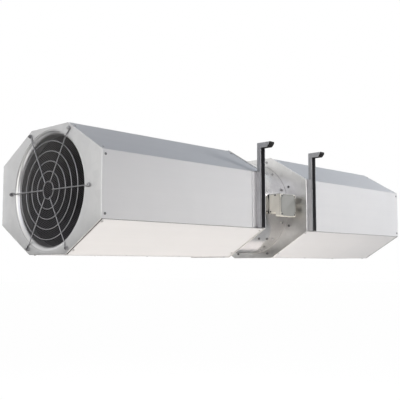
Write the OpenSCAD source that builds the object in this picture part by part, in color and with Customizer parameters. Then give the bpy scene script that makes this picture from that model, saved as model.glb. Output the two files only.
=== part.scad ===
// Car-park jet fan: a short fan drum between two flat-octagon silencers, hung on four channel legs.
// The fan's axis is X, +X runs from the photographed inlet to the far end, +Z is up,
// and the origin is on the axis, midway between the two ends. Millimetres.

/* [Casing] */
// Overall width of the flat octagon
casing_w = 480; // [460:5:520]
// Overall height of the octagon
casing_h = 360; // [356:1:400]
// Width of its flat top and bottom
top_flat_w = 176; // [160:2:210]
// Height of its upright sides
side_flat_h = 180; // [166:2:200]
// Length of one silencer, from fan plate to end plate
silencer_l = 664; // [500:4:900]
// Thickness of the casing sheet
sheet_t = 1.2; // [0.8:0.1:1.6]
// Thickness of the end plates and of all folded rims
end_t = 1.5; // [1:0.1:2]
// Depth of the folded rims that carry the shells
rim_depth = 22; // [18:1:40]
// Height of the tray's lip inside the side walls
lip_h = 14; // [8:1:24]
// Open seam between shell and tray
seam_gap = 0.8; // [0.4:0.1:2]

/* [Air path] */
// Distance of the air path inside the casing's top and bottom
air_cover = 22.5; // [21:0.5:40]
// Radius of the rounded inlet lip
lip_r = 12.5; // [8:0.5:14]
// Thickness of the inlet nozzle's sheet
nozzle_t = 1.2; // [0.8:0.1:2]
// Length of the nozzle's straight tail
nozzle_tail = 25; // [10:1:60]
// Width of the nozzle's flat flange behind the end plate
nozzle_flange = 6; // [3:0.5:7]
// Thickness of the silencer's liner
liner_t = 1; // [0.6:0.1:2]

/* [Fan section] */
// Length of the fan section between the two fan plates
gap_l = 232; // [216:2:300]
// Distance of the drum's outside beyond the air path
drum_over = 7.5; // [4:0.5:10]
// Wall of the drum
drum_t = 2.5; // [1.5:0.1:4]
// Thickness of the fan plates
plate_t = 2; // [1.5:0.1:3]
// How far the fan plates stand proud of the casing
plate_over = 3; // [1:0.5:6]
// Thickness of the angle rings between drum and plates
ring_t = 3; // [2:0.25:4]
// Length of the rings' collars inside the drum
collar_l = 38; // [34:1:44]
// Distance of the collar screws from the fan plate
collar_screw_x = 29; // [20:1:30]
// Angle of the collar screws either side of the two axes
collar_screw_a = 20.5; // [15:0.5:30]
// Distance of the plate screws' circle outside the drum
plate_screw_out = 16; // [13:0.5:17]

/* [Guard] */
// Radius of the guard's wire
wire_r = 1.6; // [1:0.1:2.5]
// Number of wire rings
guard_rings = 5; // [3:1:8]
// Radius of the smallest ring
guard_core_r = 25; // [15:1:40]
// Distance of the largest ring inside the air path
guard_edge = 19.5; // [10:0.5:30]
// Number of spokes
guard_spokes = 6; // [3:1:6]
// Distance of the eyelets outside the hole in the end plate
foot_out = 18; // [12:0.5:20]
// Radius of an eyelet, to the middle of its wire
eye_r = 4.5; // [4.4:0.1:6]

/* [Screws] */
// Radius of the self-tapping panel screws
panel_screw_r = 1.9; // [1.5:0.1:2.2]
// Distance of the panel screws from the plates
panel_screw_in = 10; // [8:0.5:12]
// Distance of the panel screws from the casing's corners
corner_in = 13; // [10:0.5:20]
// Distance of the slopes' panel screws from the top and bottom
slope_in = 24; // [13:0.5:40]
// Radius of the screws in plates, drum and supports
screw_r = 2.5; // [2:0.1:2.8]
// Radius of the bolts that hold the hangers
hanger_bolt_r = 4; // [3:0.25:5]

/* [Motor] */
// Outer radius of the motor's frame without fins
motor_r = 64; // [60:1:66]
// Wall of the motor's frame
motor_wall = 6; // [4:0.5:8]
// Height of the cooling fins
fin_h = 5; // [2:0.5:5.5]
// Number of cooling fins
fin_count = 32; // [16:4:40]
// Length of the motor's frame
motor_l = 86; // [80:1:96]
// Where the frame starts, from the middle of the fan
motor_x = -2; // [-4:0.5:4]
// Thickness of the end shields
shield_t = 10; // [9:0.5:12]
// Radius of the shaft
shaft_r = 9.5; // [8:0.25:12]
// Outer radius of the bearings
bearing_r = 20; // [18:0.5:23]
// Width of the bearings
bearing_w = 14; // [12:0.5:14]
// Radius of the rotor core
rotor_r = 40; // [34:0.5:42]
// Air gap between rotor core and stator
air_gap = 0.4; // [0.3:0.05:1]

/* [Impeller] */
// Radius of the hub
hub_r = 55; // [48:1:60]
// Length of the hub
hub_l = 44; // [44:1:48]
// Wall of the hub
hub_wall = 4; // [3:0.5:5]
// Middle of the hub, from the middle of the fan
hub_x = -55; // [-58:0.5:-52]
// Gap between blade tips and drum
tip_gap = 2.5; // [1.5:0.25:6]
// Chord of a blade at its root
root_chord = 56; // [40:1:58]
// Chord of a blade at its tip
tip_chord = 48; // [30:1:56]
// Thickness of a blade at its root
root_thick = 8; // [5:0.5:10]
// Thickness of a blade at its tip
tip_thick = 4; // [3:0.25:6]
// Blade angle to the plane of rotation at the root
root_pitch = 46; // [35:1:48]
// Blade angle to the plane of rotation at the tip
tip_pitch = 25; // [15:1:32]
// Height of the domed nose cap
nose_h = 22; // [12:1:26]

/* [Motor supports] */
// Thickness of the support plates and their feet
support_t = 3; // [2:0.25:4]
// Length of a support along the axis
support_l = 63; // [60:1:66]
// Half width of a support's feet
foot_half = 12; // [11:0.5:16]
// First screw of a support, from the middle of the fan
support_screw_x = 9; // [6:0.5:12]
// Spacing of a support's two screws
support_screw_gap = 45; // [30:1:46]

/* [Terminal box] */
// Width of the box along the axis
box_w = 86; // [78:1:90]
// Where the box starts, from the middle of the fan
box_x = 6; // [2:1:8]
// Top edge of the box above the axis
box_top = 35; // [30:1:45]
// Bottom edge of the box below the axis
box_bottom = 42; // [38:1:50]
// Bottom edge of its stepped back part below the axis
box_step_z = 31; // [26:1:35]
// Depth of the stepped back part from the drum
box_step_d = 28; // [22:1:30]
// Depth of the box from the drum to the gasket
box_d = 44; // [40:1:60]
// Wall of the box
box_wall = 2.5; // [2:0.25:3.5]
// Radius of the box's upright corners
box_corner = 4; // [2:0.5:6]
// Thickness of the gasket
gasket_t = 1; // [0.5:0.25:2]
// Thickness of the lid
lid_t = 5.5; // [4.5:0.25:8]
// Outer radius of the cable duct through the drum
duct_r = 8; // [6:0.5:9]

/* [Hangers] */
// Width of a channel leg
leg_w = 24; // [20:1:30]
// Depth of a channel leg
leg_d = 16; // [12:0.5:20]
// Wall of a channel leg
leg_t = 2; // [1.5:0.1:3]
// Middle of the leg, from the fan plate
hanger_in = 25; // [22:0.5:40]
// Height of the hangers' top above the axis
hanger_top = 184; // [170:1:200]
// Reach of the arm from the casing's side
arm_reach = 53; // [46:1:90]
// Height of the arm
arm_h = 17; // [12:0.5:24]
// Distance of the anchor hole from the casing's side
anchor_out = 30; // [26:0.5:34]
// Radius of the anchor hole
anchor_r = 5.5; // [4:0.25:7]
// Thickness of the rail's base
rail_t = 1.5; // [1:0.1:3]
// Thickness of the rail's two walls
rail_wall = 1.6; // [1:0.1:2.5]
// Height of the rail's walls above the casing
rail_h = 15; // [8:0.5:17]
// Width of the rail's outer flange
rail_flange = 21; // [10:1:40]
// Height of the hanger bolts above and below the axis
hanger_bolt_z = 50; // [30:1:60]

/* [Hidden] */
$fn = 96;
eps = 0.01;
// Clearances: running fits, flat or curved pieces laid together, and soft fillings
run_fit = 0.03;
lay_fit = 0.1;
soft_gap = 0.3;
hole_fit = 0.1;

air_r = casing_h / 2 - air_cover;
hole_r = air_r + lip_r;
drum_r = air_r + drum_over;
drum_in = drum_r - drum_t;
plate_x = gap_l / 2;
end_x = plate_x + silencer_l;

// Along a silencer, measured from the gap side of its fan plate
ring_x = plate_t + ring_t;
end_in = silencer_l - end_t;
lip_x = end_in - lip_r;
screw_xs = [plate_t + panel_screw_in, end_in - panel_screw_in];
rim_in = sheet_t + end_t;
panel_screw_l = rim_in + 4;
panel_head_r = panel_screw_r * 1.9;
panel_head_h = 1.8;
wool_x = [screw_xs[0] + panel_head_r + 1.5, min(screw_xs[1] - panel_head_r - 1.5, lip_x - 1)];

// Corner radius of a hexagon over its bolt's radius; the fan plate's rim is deep enough for the hanger bolts
hex_k = 1.75;
fan_rim = hanger_in + hex_k * hanger_bolt_r + 4;

liner_in = air_r + nozzle_t + lay_fit;
liner_out = liner_in + liner_t;
collar_out = drum_in - 2 * lay_fit;
collar_in = collar_out - ring_t;
plate_screw_r = drum_r + plate_screw_out;
head_r = screw_r * 1.8;
head_h = screw_r * 1.1;
nut_r = screw_r * 2.2;
nut_h = screw_r * 1.9;

wire_x = silencer_l + wire_r + 0.05;
guard_ring_x = wire_x - 1.8 * wire_r;
guard_rim_r = air_r - guard_edge;
foot_r = hole_r + foot_out;
guard_screw_r = eye_r - wire_r - 0.4;

motor_in = motor_r - motor_wall;
motor_end = motor_x + motor_l;
pad_r = motor_r + 6;
press_fit = 0.05;
stator_out = motor_in - press_fit;
winding_d = 8;
winding_in = 4;
stator_x = [motor_x + winding_in + winding_d, motor_end - winding_in - winding_d];
shield_face = 3;
spigot_t = 6;
drive_bearing_x = motor_x - shield_t + shield_face;
rear_bearing_x = motor_end + shield_t - shield_face - bearing_w;
boss_r = bearing_r + 6;
bearing_seat = bearing_r + press_fit;
shaft_hole = shaft_r + 0.7;
shaft_bore = shaft_r + 0.02;

hub_x0 = hub_x - hub_l / 2;
hub_x1 = hub_x + hub_l / 2;
hub_in = hub_r - hub_wall;
hub_web = 5;
hub_web_x = hub_x1 - hub_web - 4;
hub_boss_r = shaft_r + 6.5;
hub_boss_l = 25;
hub_boss_x = hub_web_x + hub_web - hub_boss_l;
hub_bolt_r = 4;
hub_bolt_l = 16;
washer_r = 14;
washer_t = 2;
tip_r = drum_in - tip_gap;
blade_count = 6;
blade_root_gap = 1.5;
blade_root = hub_r + blade_root_gap;
stub_r = 8;
stub_collar = 11;
stub_collar_h = 5;
neck_r = 3.6;
neck_in = 3;
nose_ball_r = (hub_r * hub_r + nose_h * nose_h) / (2 * nose_h);
nose_t = 2;

web_y = foot_half - 1.5;
foot_seat = drum_in - lay_fit;
support_x = motor_x + 2;

box_front = drum_r + box_d;
box_step_y = drum_r + box_step_d;
box_floor = drum_r + 3;
duct_x = box_x + box_w / 2;
post_r = 5;
post_l = 14;
post_in = 7;
lid_screw_r = 1.8;
plug_r = 7;

side_y = casing_w / 2;
hanger_x = plate_x + plate_t + hanger_in;
rail_half = leg_w / 2 + 0.4 + rail_wall;
arm_tip = 6;
arm_cut = 9;
bolt_head_h = 5;

galvanised = [0.80, 0.80, 0.80];
painted = [0.84, 0.84, 0.85];
bluish = [0.70, 0.73, 0.77];
dark = [0.2, 0.2, 0.21];
bracket_grey = [0.55, 0.56, 0.58];
cream = [0.82, 0.81, 0.75];
cover_green = [0.60, 0.62, 0.58];
brass = [0.75, 0.62, 0.30];

// ---- shared shapes ----

slope_run = (casing_w - top_flat_w) / 2;
slope_rise = (casing_h - side_flat_h) / 2;
slope_n = [slope_rise, slope_run] / norm([slope_run, slope_rise]);

// Corners of the octagon in Y and Z, each wall moved inward by d
function octagon(d) =
    let (w = casing_w / 2 - d, h = casing_h / 2 - d,
        f = top_flat_w / 2 - d * (1 - slope_n[1]) / slope_n[0],
        s = side_flat_h / 2 - d * (1 - slope_n[0]) / slope_n[1])
    [[f, h], [-f, h], [-w, s], [-w, -s], [-f, -h], [f, -h], [w, -s], [w, s]];

// Stands a flat outline of Y and Z up from x0 to x1
module along_x(x0, x1) {
    translate([x0, 0, 0]) rotate([90, 0, 90]) linear_extrude(x1 - x0) children();
}

module octagon_ring(x0, x1, d, t) {
    along_x(x0, x1) difference() {
        polygon(octagon(d));
        polygon(octagon(d + t));
    }
}

module disc_x(x0, x1, r) {
    translate([x0, 0, 0]) rotate([0, 90, 0]) cylinder(h = x1 - x0, r = r);
}

module tube_x(x0, x1, r_out, r_in) {
    difference() {
        disc_x(x0, x1, r_out);
        disc_x(x0 - 1, x1 + 1, r_in);
    }
}

// Turns an outline of radius and X into a ring about the axis
module turned() {
    rotate([0, 90, 0]) rotate_extrude() children();
}

// Places a silencer's pieces: side is -1 at the inlet and 1 at the outlet
module at_end(side) {
    mirror([side < 0 ? 1 : 0, 0, 0]) translate([plate_x, 0, 0]) children();
}

// Points children outward along +Z at angle a, counted about X from the -Y side upward
module around(a) {
    rotate([90 - a, 0, 0]) children();
}

// Children sit near both corners of the eight faces, with +Z outward; next to the fan, rails hold the sides
module at_face_corners(x) {
    pts = octagon(0);
    for (k = x == screw_xs[0] ? [0, 1, 3, 4, 5, 7] : [0 : 7]) {
        a = pts[k];
        b = pts[(k + 1) % 8];
        u = (b - a) / norm(b - a);
        in_a = k == 1 || k == 5 ? slope_in : corner_in;
        in_b = k == 3 || k == 7 ? slope_in : corner_in;
        for (p = [a + u * in_a, b - u * in_b])
            translate([x, p[0], p[1]]) rotate([atan2(-u[1], -u[0]), 0, 0]) children();
    }
}

module panel_holes() {
    for (x = screw_xs) at_face_corners(x)
        translate([0, 0, -rim_in - 2]) cylinder(h = rim_in + 4, r = panel_screw_r + hole_fit, $fn = 24);
}

// Fixing screw with its seat at z = 0, head up and shank down
module screw(r, length, cap_r, cap_h) {
    translate([0, 0, -length]) cylinder(h = length + eps, r = r, $fn = 24);
    cylinder(h = cap_h * 0.5, r = cap_r, $fn = 32);
    translate([0, 0, cap_h * 0.5 - eps]) cylinder(h = cap_h * 0.5, r1 = cap_r, r2 = cap_r * 0.7, $fn = 32);
}

// Hexagon bolt with its seat at z = 0; its nut bears at z = -grip
module bolt_and_nut(r, grip) {
    translate([0, 0, -grip - 2.4 * r]) cylinder(h = grip + 2.4 * r + eps, r = r, $fn = 24);
    cylinder(h = 1.25 * r, r = hex_k * r, $fn = 6);
    translate([0, 0, -grip - 1.6 * r]) cylinder(h = 1.6 * r, r = hex_k * r, $fn = 6);
}

// Flat outline with round corners
module round_rect(w, h, r) {
    translate([r, 0]) square([w - 2 * r, h]);
    translate([0, r]) square([w, h - 2 * r]);
    for (x = [r, w - r]) for (y = [r, h - r]) translate([x, y]) circle(r, $fn = 32);
}

// Angles of the eight plate screws, of the collar screws and of the four supports
plate_screw_angles = [for (k = [0 : 7]) 22.5 + 45 * k];
collar_screw_angles = [for (k = [0 : 3]) for (s = [-1, 1]) 90 * k + s * collar_screw_a];
support_angles = [for (k = [0 : 3]) 45 + 90 * k];
support_screws_x = [support_screw_x, support_screw_x + support_screw_gap];

// ---- silencers ----

module upper_shell(side) {
    color(bluish) at_end(side) difference() {
        along_x(plate_t, end_in) difference() {
            polygon(octagon(0));
            polygon(octagon(sheet_t));
            translate([-casing_w, -casing_h - side_flat_h / 2]) square([2 * casing_w, casing_h]);
        }
        panel_holes();
        hanger_holes();
    }
}

// Bottom and lower slopes, with a lip that stands inside each side wall
module lower_tray(side) {
    seam_z = -side_flat_h / 2;
    joggle = 8;
    lip_gap = 3;
    color(painted) at_end(side) difference() {
        union() {
            along_x(plate_t, end_in) intersection() {
                difference() {
                    polygon(octagon(0));
                    polygon(octagon(sheet_t));
                }
                translate([-casing_w, seam_z - seam_gap - casing_h]) square([2 * casing_w, casing_h]);
            }
            along_x(plate_t + fan_rim + lip_gap, end_in - rim_depth - lip_gap) intersection() {
                difference() {
                    polygon(octagon(sheet_t));
                    polygon(octagon(2 * sheet_t));
                }
                translate([-casing_w, seam_z - joggle]) square([2 * casing_w, joggle + lip_h]);
            }
        }
        panel_holes();
    }
}

// Octagonal plate with the round mouth of the air path and a folded rim
module end_plate(side) {
    color(galvanised) at_end(side) difference() {
        union() {
            along_x(end_in, silencer_l) polygon(octagon(0));
            octagon_ring(end_in - rim_depth, end_in + eps, sheet_t, end_t);
        }
        disc_x(end_in - 1, silencer_l + 1, hole_r);
        panel_holes();
        for (k = [0 : guard_spokes - 1]) around(k * 360 / guard_spokes)
            translate([end_in - 1, 0, foot_r]) rotate([0, 90, 0])
                cylinder(h = end_t + 2, r = guard_screw_r + hole_fit, $fn = 24);
    }
}

// Rounded inlet lip with a tail that centres the liner and a flange that backs the end plate
module nozzle(side) {
    arc_steps = 16;
    flange_r = hole_r + nozzle_flange;
    inner = lip_r - nozzle_t;
    arc = [for (k = [0 : arc_steps]) 90 * k / arc_steps];
    color(galvanised) at_end(side) turned() polygon(concat(
        [[air_r + nozzle_t, lip_x - nozzle_tail], [air_r, lip_x - nozzle_tail]],
        [for (a = arc) [hole_r - lip_r * cos(a), lip_x + lip_r * sin(a)]],
        [[flange_r, end_in], [flange_r, end_in - nozzle_t]],
        [for (a = arc) [hole_r - inner * sin(a), lip_x + inner * cos(a)]]));
}

module liner(side) {
    color(dark) at_end(side) tube_x(ring_x, lip_x - 2, liner_out, liner_in);
}

// Mineral wool between liner and casing, relieved for the hanger bolts
module wool(side) {
    pocket = 4 * hanger_bolt_r;
    color("khaki") at_end(side) difference() {
        along_x(wool_x[0], wool_x[1]) polygon(octagon(rim_in + soft_gap));
        disc_x(wool_x[0] - 1, wool_x[1] + 1, liner_out + soft_gap);
        for (sy = [-1, 1]) for (sz = [-1, 1])
            translate([hanger_in + plate_t, sy * (side_y - rim_in), sz * hanger_bolt_z])
                rotate([90, 0, 0]) cylinder(h = 2 * pocket, r = pocket / 2 + 0.8, center = true);
    }
}

// Plate between silencer and drum
module fan_plate(side) {
    color(galvanised) at_end(side) difference() {
        union() {
            along_x(0, plate_t) polygon(octagon(-plate_over));
            octagon_ring(plate_t - eps, plate_t + fan_rim, sheet_t, end_t);
        }
        disc_x(-1, plate_t + 1, drum_in);
        panel_holes();
        hanger_holes();
        plate_screw_holes(-1, plate_t + 1);
    }
}

module plate_screw_holes(x0, x1) {
    for (a = plate_screw_angles) around(a) translate([x0, 0, plate_screw_r])
        rotate([0, 90, 0]) cylinder(h = x1 - x0, r = screw_r + hole_fit, $fn = 24);
}

// Angle ring: its collar centres the drum and its flange backs the fan plate
module drum_ring(side) {
    color(galvanised) at_end(side) difference() {
        union() {
            tube_x(-collar_l, ring_x, collar_out, collar_in);
            intersection() {
                tube_x(plate_t, ring_x, plate_screw_r + 9, min(collar_in, liner_in));
                along_x(plate_t, ring_x) polygon(octagon(rim_in + lay_fit));
            }
        }
        plate_screw_holes(0, ring_x + 1);
        for (a = collar_screw_angles) around(a)
            translate([-collar_screw_x, 0, collar_in - 2])
                cylinder(h = ring_t + 4, r = screw_r + hole_fit, $fn = 24);
    }
}

module guard(side) {
    pitch = (guard_rim_r - guard_core_r) / (guard_rings - 1);
    color(bracket_grey) at_end(side) union() {
        for (k = [0 : guard_rings - 1]) turned()
            translate([guard_core_r + k * pitch, guard_ring_x]) circle(wire_r, $fn = 32);
        for (k = [0 : guard_spokes - 1]) around(k * 360 / guard_spokes) translate([wire_x, 0, 0]) {
            translate([0, 0, guard_core_r - 2 * wire_r])
                cylinder(h = foot_r - eye_r - guard_core_r + 2 * wire_r, r = wire_r, $fn = 32);
            translate([0, 0, foot_r]) rotate([0, 90, 0]) rotate_extrude()
                translate([eye_r, 0]) circle(wire_r, $fn = 32);
        }
    }
}

module panel_screws(side) {
    color(bracket_grey) at_end(side) for (x = screw_xs) at_face_corners(x)
        screw(panel_screw_r, panel_screw_l, panel_head_r, panel_head_h);
}

module guard_screws() {
    washer = wire_r * 2 + 0.1;
    color(dark) for (side = [-1, 1]) at_end(side)
        for (k = [0 : guard_spokes - 1]) around(k * 360 / guard_spokes)
            translate([silencer_l + washer, 0, foot_r]) rotate([0, 90, 0])
                screw(guard_screw_r, washer + end_t + 6, eye_r + 0.5, 3);
}

// ---- fan section ----

module plate_screws() {
    color(bracket_grey) for (side = [-1, 1]) at_end(side) for (a = plate_screw_angles) around(a)
        translate([0, 0, plate_screw_r]) rotate([0, -90, 0]) {
            screw(screw_r, ring_x + nut_h + 1.5, head_r, head_h);
            translate([0, 0, -ring_x - nut_h]) cylinder(h = nut_h, r = nut_r, $fn = 6);
        }
}

// Screws through the drum: into the collars at its ends and the motor supports in its middle
module drum_screws() {
    grip = drum_r - foot_seat + support_t;
    color(bracket_grey) {
        for (side = [-1, 1]) at_end(side) for (a = collar_screw_angles) around(a)
            translate([-collar_screw_x, 0, drum_r])
                screw(screw_r, drum_r - collar_in + 2, head_r, head_h);
        for (a = support_angles) for (x = support_screws_x) around(a) translate([x, 0, drum_r]) {
            screw(screw_r, grip + nut_h + 1, head_r, head_h);
            translate([0, 0, -grip - nut_h - 0.1]) cylinder(h = nut_h, r = nut_r, $fn = 6);
        }
    }
}

module drum() {
    color(galvanised) difference() {
        tube_x(-plate_x, plate_x, drum_r, drum_in);
        for (side = [-1, 1]) at_end(side) for (a = collar_screw_angles) around(a)
            translate([-collar_screw_x, 0, drum_in - 3])
                cylinder(h = drum_t + 6, r = screw_r + hole_fit, $fn = 24);
        for (a = support_angles) for (x = support_screws_x) around(a)
            translate([x, 0, drum_in - 3]) cylinder(h = drum_t + 6, r = screw_r + hole_fit, $fn = 24);
        around(0) translate([duct_x, 0, drum_in - 3])
            cylinder(h = drum_t + 6, r = duct_r + hole_fit);
        for (x = box_screw_xs) around(0) translate([x, 0, drum_in - 3])
            cylinder(h = drum_t + 6, r = lid_screw_r + hole_fit, $fn = 24);
    }
}

// Four folded plates that carry the motor, each with a curved foot on the drum and a flat one on the frame
module motor_supports() {
    color(galvanised) for (a = support_angles) around(a) difference() {
        union() {
            translate([support_x, web_y, pad_r])
                cube([support_l, support_t, foot_seat - pad_r - support_t]);
            translate([support_x, -foot_half, pad_r])
                cube([support_l, web_y + support_t + foot_half, support_t]);
            intersection() {
                tube_x(support_x, support_x + support_l, foot_seat, foot_seat - support_t);
                translate([support_x, -foot_half, drum_in / 2])
                    cube([support_l, web_y + support_t + foot_half, drum_in]);
            }
        }
        for (x = support_screws_x) translate([x, 0, foot_seat - support_t - 2])
            cylinder(h = support_t + 4, r = screw_r + hole_fit, $fn = 24);
        for (x = support_screws_x) translate([x, 0, pad_r - 1])
            cylinder(h = support_t + 2, r = screw_r + hole_fit, $fn = 24);
    }
}

// Screws from the supports into the frame's pads, and through the end shields
shield_screw_r = (motor_in + motor_r) / 2;
shield_screw_angles = [for (k = [0 : 3]) 90 * k + 20];
module motor_screws() {
    color(bracket_grey) {
        for (a = support_angles) for (x = support_screws_x) around(a)
            translate([x, 0, pad_r + support_t]) screw(screw_r, support_t + 6, head_r, head_h);
        for (a = shield_screw_angles) around(a) {
            translate([motor_x - shield_t, 0, shield_screw_r]) rotate([0, -90, 0])
                screw(screw_r * 0.7, shield_t + 8, head_r * 0.7, head_h);
            translate([motor_end + shield_t, 0, shield_screw_r]) rotate([0, 90, 0])
                screw(screw_r * 0.7, shield_t + 8, head_r * 0.7, head_h);
        }
    }
}

module shield_screw_holes() {
    for (a = shield_screw_angles) around(a) {
        translate([motor_x - shield_t - 1, 0, shield_screw_r]) rotate([0, 90, 0])
            cylinder(h = shield_t + 10, r = screw_r * 0.7 + hole_fit, $fn = 24);
        translate([motor_end - 9, 0, shield_screw_r]) rotate([0, 90, 0])
            cylinder(h = shield_t + 10, r = screw_r * 0.7 + hole_fit, $fn = 24);
    }
}

// ---- motor ----

module motor_frame() {
    pad_half = foot_half + 3;
    color(bracket_grey) difference() {
        union() {
            disc_x(motor_x, motor_end, motor_r);
            for (k = [0 : fin_count - 1]) around(k * 360 / fin_count)
                translate([motor_x + 3, -1.1, motor_r - 1]) cube([motor_l - 6, 2.2, fin_h + 1]);
            for (a = support_angles) around(a)
                translate([support_x, -pad_half, motor_in]) cube([support_l, 2 * pad_half, pad_r - motor_in]);
            around(0) translate([duct_x, 0, motor_in]) cylinder(h = pad_r + 2 - motor_in, r = duct_r + 4);
        }
        disc_x(motor_x - 1, motor_end + 1, motor_in);
        for (a = support_angles) for (x = support_screws_x) around(a)
            translate([x, 0, pad_r - 7]) cylinder(h = 8, r = screw_r + hole_fit, $fn = 24);
        around(0) translate([duct_x, 0, motor_in - 5]) cylinder(h = pad_r, r = duct_r - 1.5);
        shield_screw_holes();
    }
}

// Outline of a shield on its inner side: x0 is its outer face, and dir points into the motor
module shield(x0, dir, hole) {
    color(bracket_grey) difference() {
        translate([x0, 0, 0]) mirror([dir < 0 ? 1 : 0, 0, 0]) union() {
            disc_x(0, shield_t, motor_r);
            tube_x(shield_t - eps, shield_t + 3, motor_in - lay_fit, motor_in - spigot_t);
            disc_x(shield_t - eps, shield_face + bearing_w, boss_r);
        }
        translate([x0 + dir * shield_face, 0, 0]) mirror([dir < 0 ? 1 : 0, 0, 0])
            disc_x(0, bearing_w + 5, bearing_seat);
        if (hole) disc_x(x0 - 1, x0 + shield_face + 1, shaft_hole);
        shield_screw_holes();
    }
}

module bearing(x0) {
    color(galvanised) tube_x(x0, x0 + bearing_w, bearing_r, shaft_r + run_fit);
}

// Laminations with the end turns of the winding on both faces
module stator_core() {
    color(brass) {
        tube_x(stator_x[0], stator_x[1], stator_out, rotor_r + air_gap);
        tube_x(stator_x[0] - winding_d, stator_x[1] + winding_d, motor_in - spigot_t - 1, rotor_r + 3);
    }
}

// Shaft with a centre hole for the hub's bolt
module motor_shaft() {
    shaft_x = hub_boss_x + 1;
    color("silver") difference() {
        disc_x(shaft_x, rear_bearing_x + bearing_w - 1, shaft_r);
        disc_x(shaft_x - 1, hub_boss_x + hub_bolt_l + 4, hub_bolt_r + press_fit);
    }
}

module rotor_core() {
    color(bracket_grey) tube_x(stator_x[0] + 1, stator_x[1] - 1, rotor_r, shaft_bore);
}

// ---- impeller ----

module impeller_hub() {
    color("silver") difference() {
        union() {
            tube_x(hub_x0, hub_x1, hub_r, hub_in);
            disc_x(hub_web_x, hub_web_x + hub_web, hub_in + 1);
            disc_x(hub_boss_x, hub_web_x + hub_web, hub_boss_r);
        }
        disc_x(hub_boss_x - 1, hub_x1 + 1, shaft_bore);
        for (k = [0 : blade_count - 1]) around(k * 360 / blade_count)
            translate([hub_x, 0, hub_in - 2]) cylinder(h = hub_wall + 4, r = stub_r + 0.05);
    }
}

// One ring of points, an ellipse, so the fan blows alike both ways: flat over the hub and curved as the drum at the tip
blade_sides = 20;
blade_steps = 8;
function blend(a, b, t) = a + (b - a) * t;
function blade_ring(t) =
    let (r = blend(blade_root, tip_r, t), c = blend(root_chord, tip_chord, t) / 2,
        h = blend(root_thick, tip_thick, t) / 2, p = blend(root_pitch, tip_pitch, sqrt(t)))
    [for (k = [0 : blade_sides - 1])
        let (a = 360 * k / blade_sides, u = c * cos(a), v = h * sin(a), y = u * cos(p) - v * sin(p))
        [u * sin(p) + v * cos(p), y, blend(r, sqrt(r * r - y * y), t)]];

module blade(k) {
    rings = [for (i = [0 : blade_steps]) blade_ring(i / blade_steps)];
    n = blade_sides;
    top = blade_steps * n;
    seat = sqrt(hub_in * hub_in - stub_collar * stub_collar) - lay_fit;
    color("gainsboro") around(k * 360 / blade_count) translate([hub_x, 0, 0]) union() {
        polyhedron([for (ring = rings) each ring], concat(
            [for (i = [0 : blade_steps - 1]) for (j = [0 : n - 1]) each
                [[i * n + j, i * n + (j + 1) % n, (i + 1) * n + (j + 1) % n],
                [i * n + j, (i + 1) * n + (j + 1) % n, (i + 1) * n + j]]],
            [for (j = [1 : n - 2]) [0, j + 1, j]],
            [for (j = [1 : n - 2]) [top, top + j, top + j + 1]]));
        translate([0, 0, seat - stub_collar_h])
            cylinder(h = blade_root + neck_in - seat + stub_collar_h, r = neck_r, $fn = 32);
        translate([0, 0, seat - stub_collar_h]) cylinder(h = hub_r - seat + stub_collar_h, r = stub_r);
        translate([0, 0, seat - stub_collar_h]) cylinder(h = stub_collar_h, r = stub_collar);
    }
}

module hub_bolt() {
    color(bracket_grey) union() {
        disc_x(hub_boss_x - washer_t, hub_boss_x, washer_r);
        disc_x(hub_boss_x - washer_t, hub_boss_x + hub_bolt_l, hub_bolt_r);
        translate([hub_boss_x - washer_t, 0, 0]) rotate([0, -90, 0])
            cylinder(h = 1.25 * hub_bolt_r, r = hex_k * hub_bolt_r, $fn = 6);
    }
}

// Domed cap that closes the hub's open end
module nose_cap() {
    color("gainsboro") turned() {
        intersection() {
            translate([0, hub_x0 + nose_ball_r - nose_h]) difference() {
                circle(nose_ball_r, $fn = 180);
                circle(nose_ball_r - nose_t, $fn = 180);
            }
            translate([0, hub_x0 - nose_h - 1]) square([hub_r, nose_h + 1]);
        }
        translate([hub_in - lay_fit - nose_t, hub_x0 - 1.5]) square([nose_t, 7.5]);
    }
}

// ---- terminal box ----

box_screw_xs = [duct_x - box_w / 2 + 16, duct_x + box_w / 2 - 16];
lid_screw_xz = [for (x = [post_in, box_w - post_in])
    for (z = [post_in, box_top + box_bottom - post_in]) [x, z]];
plug_zs = [-0.5 * box_step_z, 0.5 * box_top];
plug_y = (box_front + box_step_y) / 2;

// Stands a flat outline of X and Z up from the box's corner, between two distances from the axis
module on_box(y0, y1) {
    translate([box_x, -y0, -box_bottom]) rotate([90, 0, 0]) linear_extrude(y1 - y0) children();
}

module box_outline(inset) {
    translate([inset, inset])
        round_rect(box_w - 2 * inset, box_top + box_bottom - 2 * inset, max(0.5, box_corner - inset));
}

module box_back_outline(inset) {
    translate([inset, box_bottom - box_step_z + inset])
        round_rect(box_w - 2 * inset, box_top + box_step_z - 2 * inset, max(0.5, box_corner - inset));
}

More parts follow.
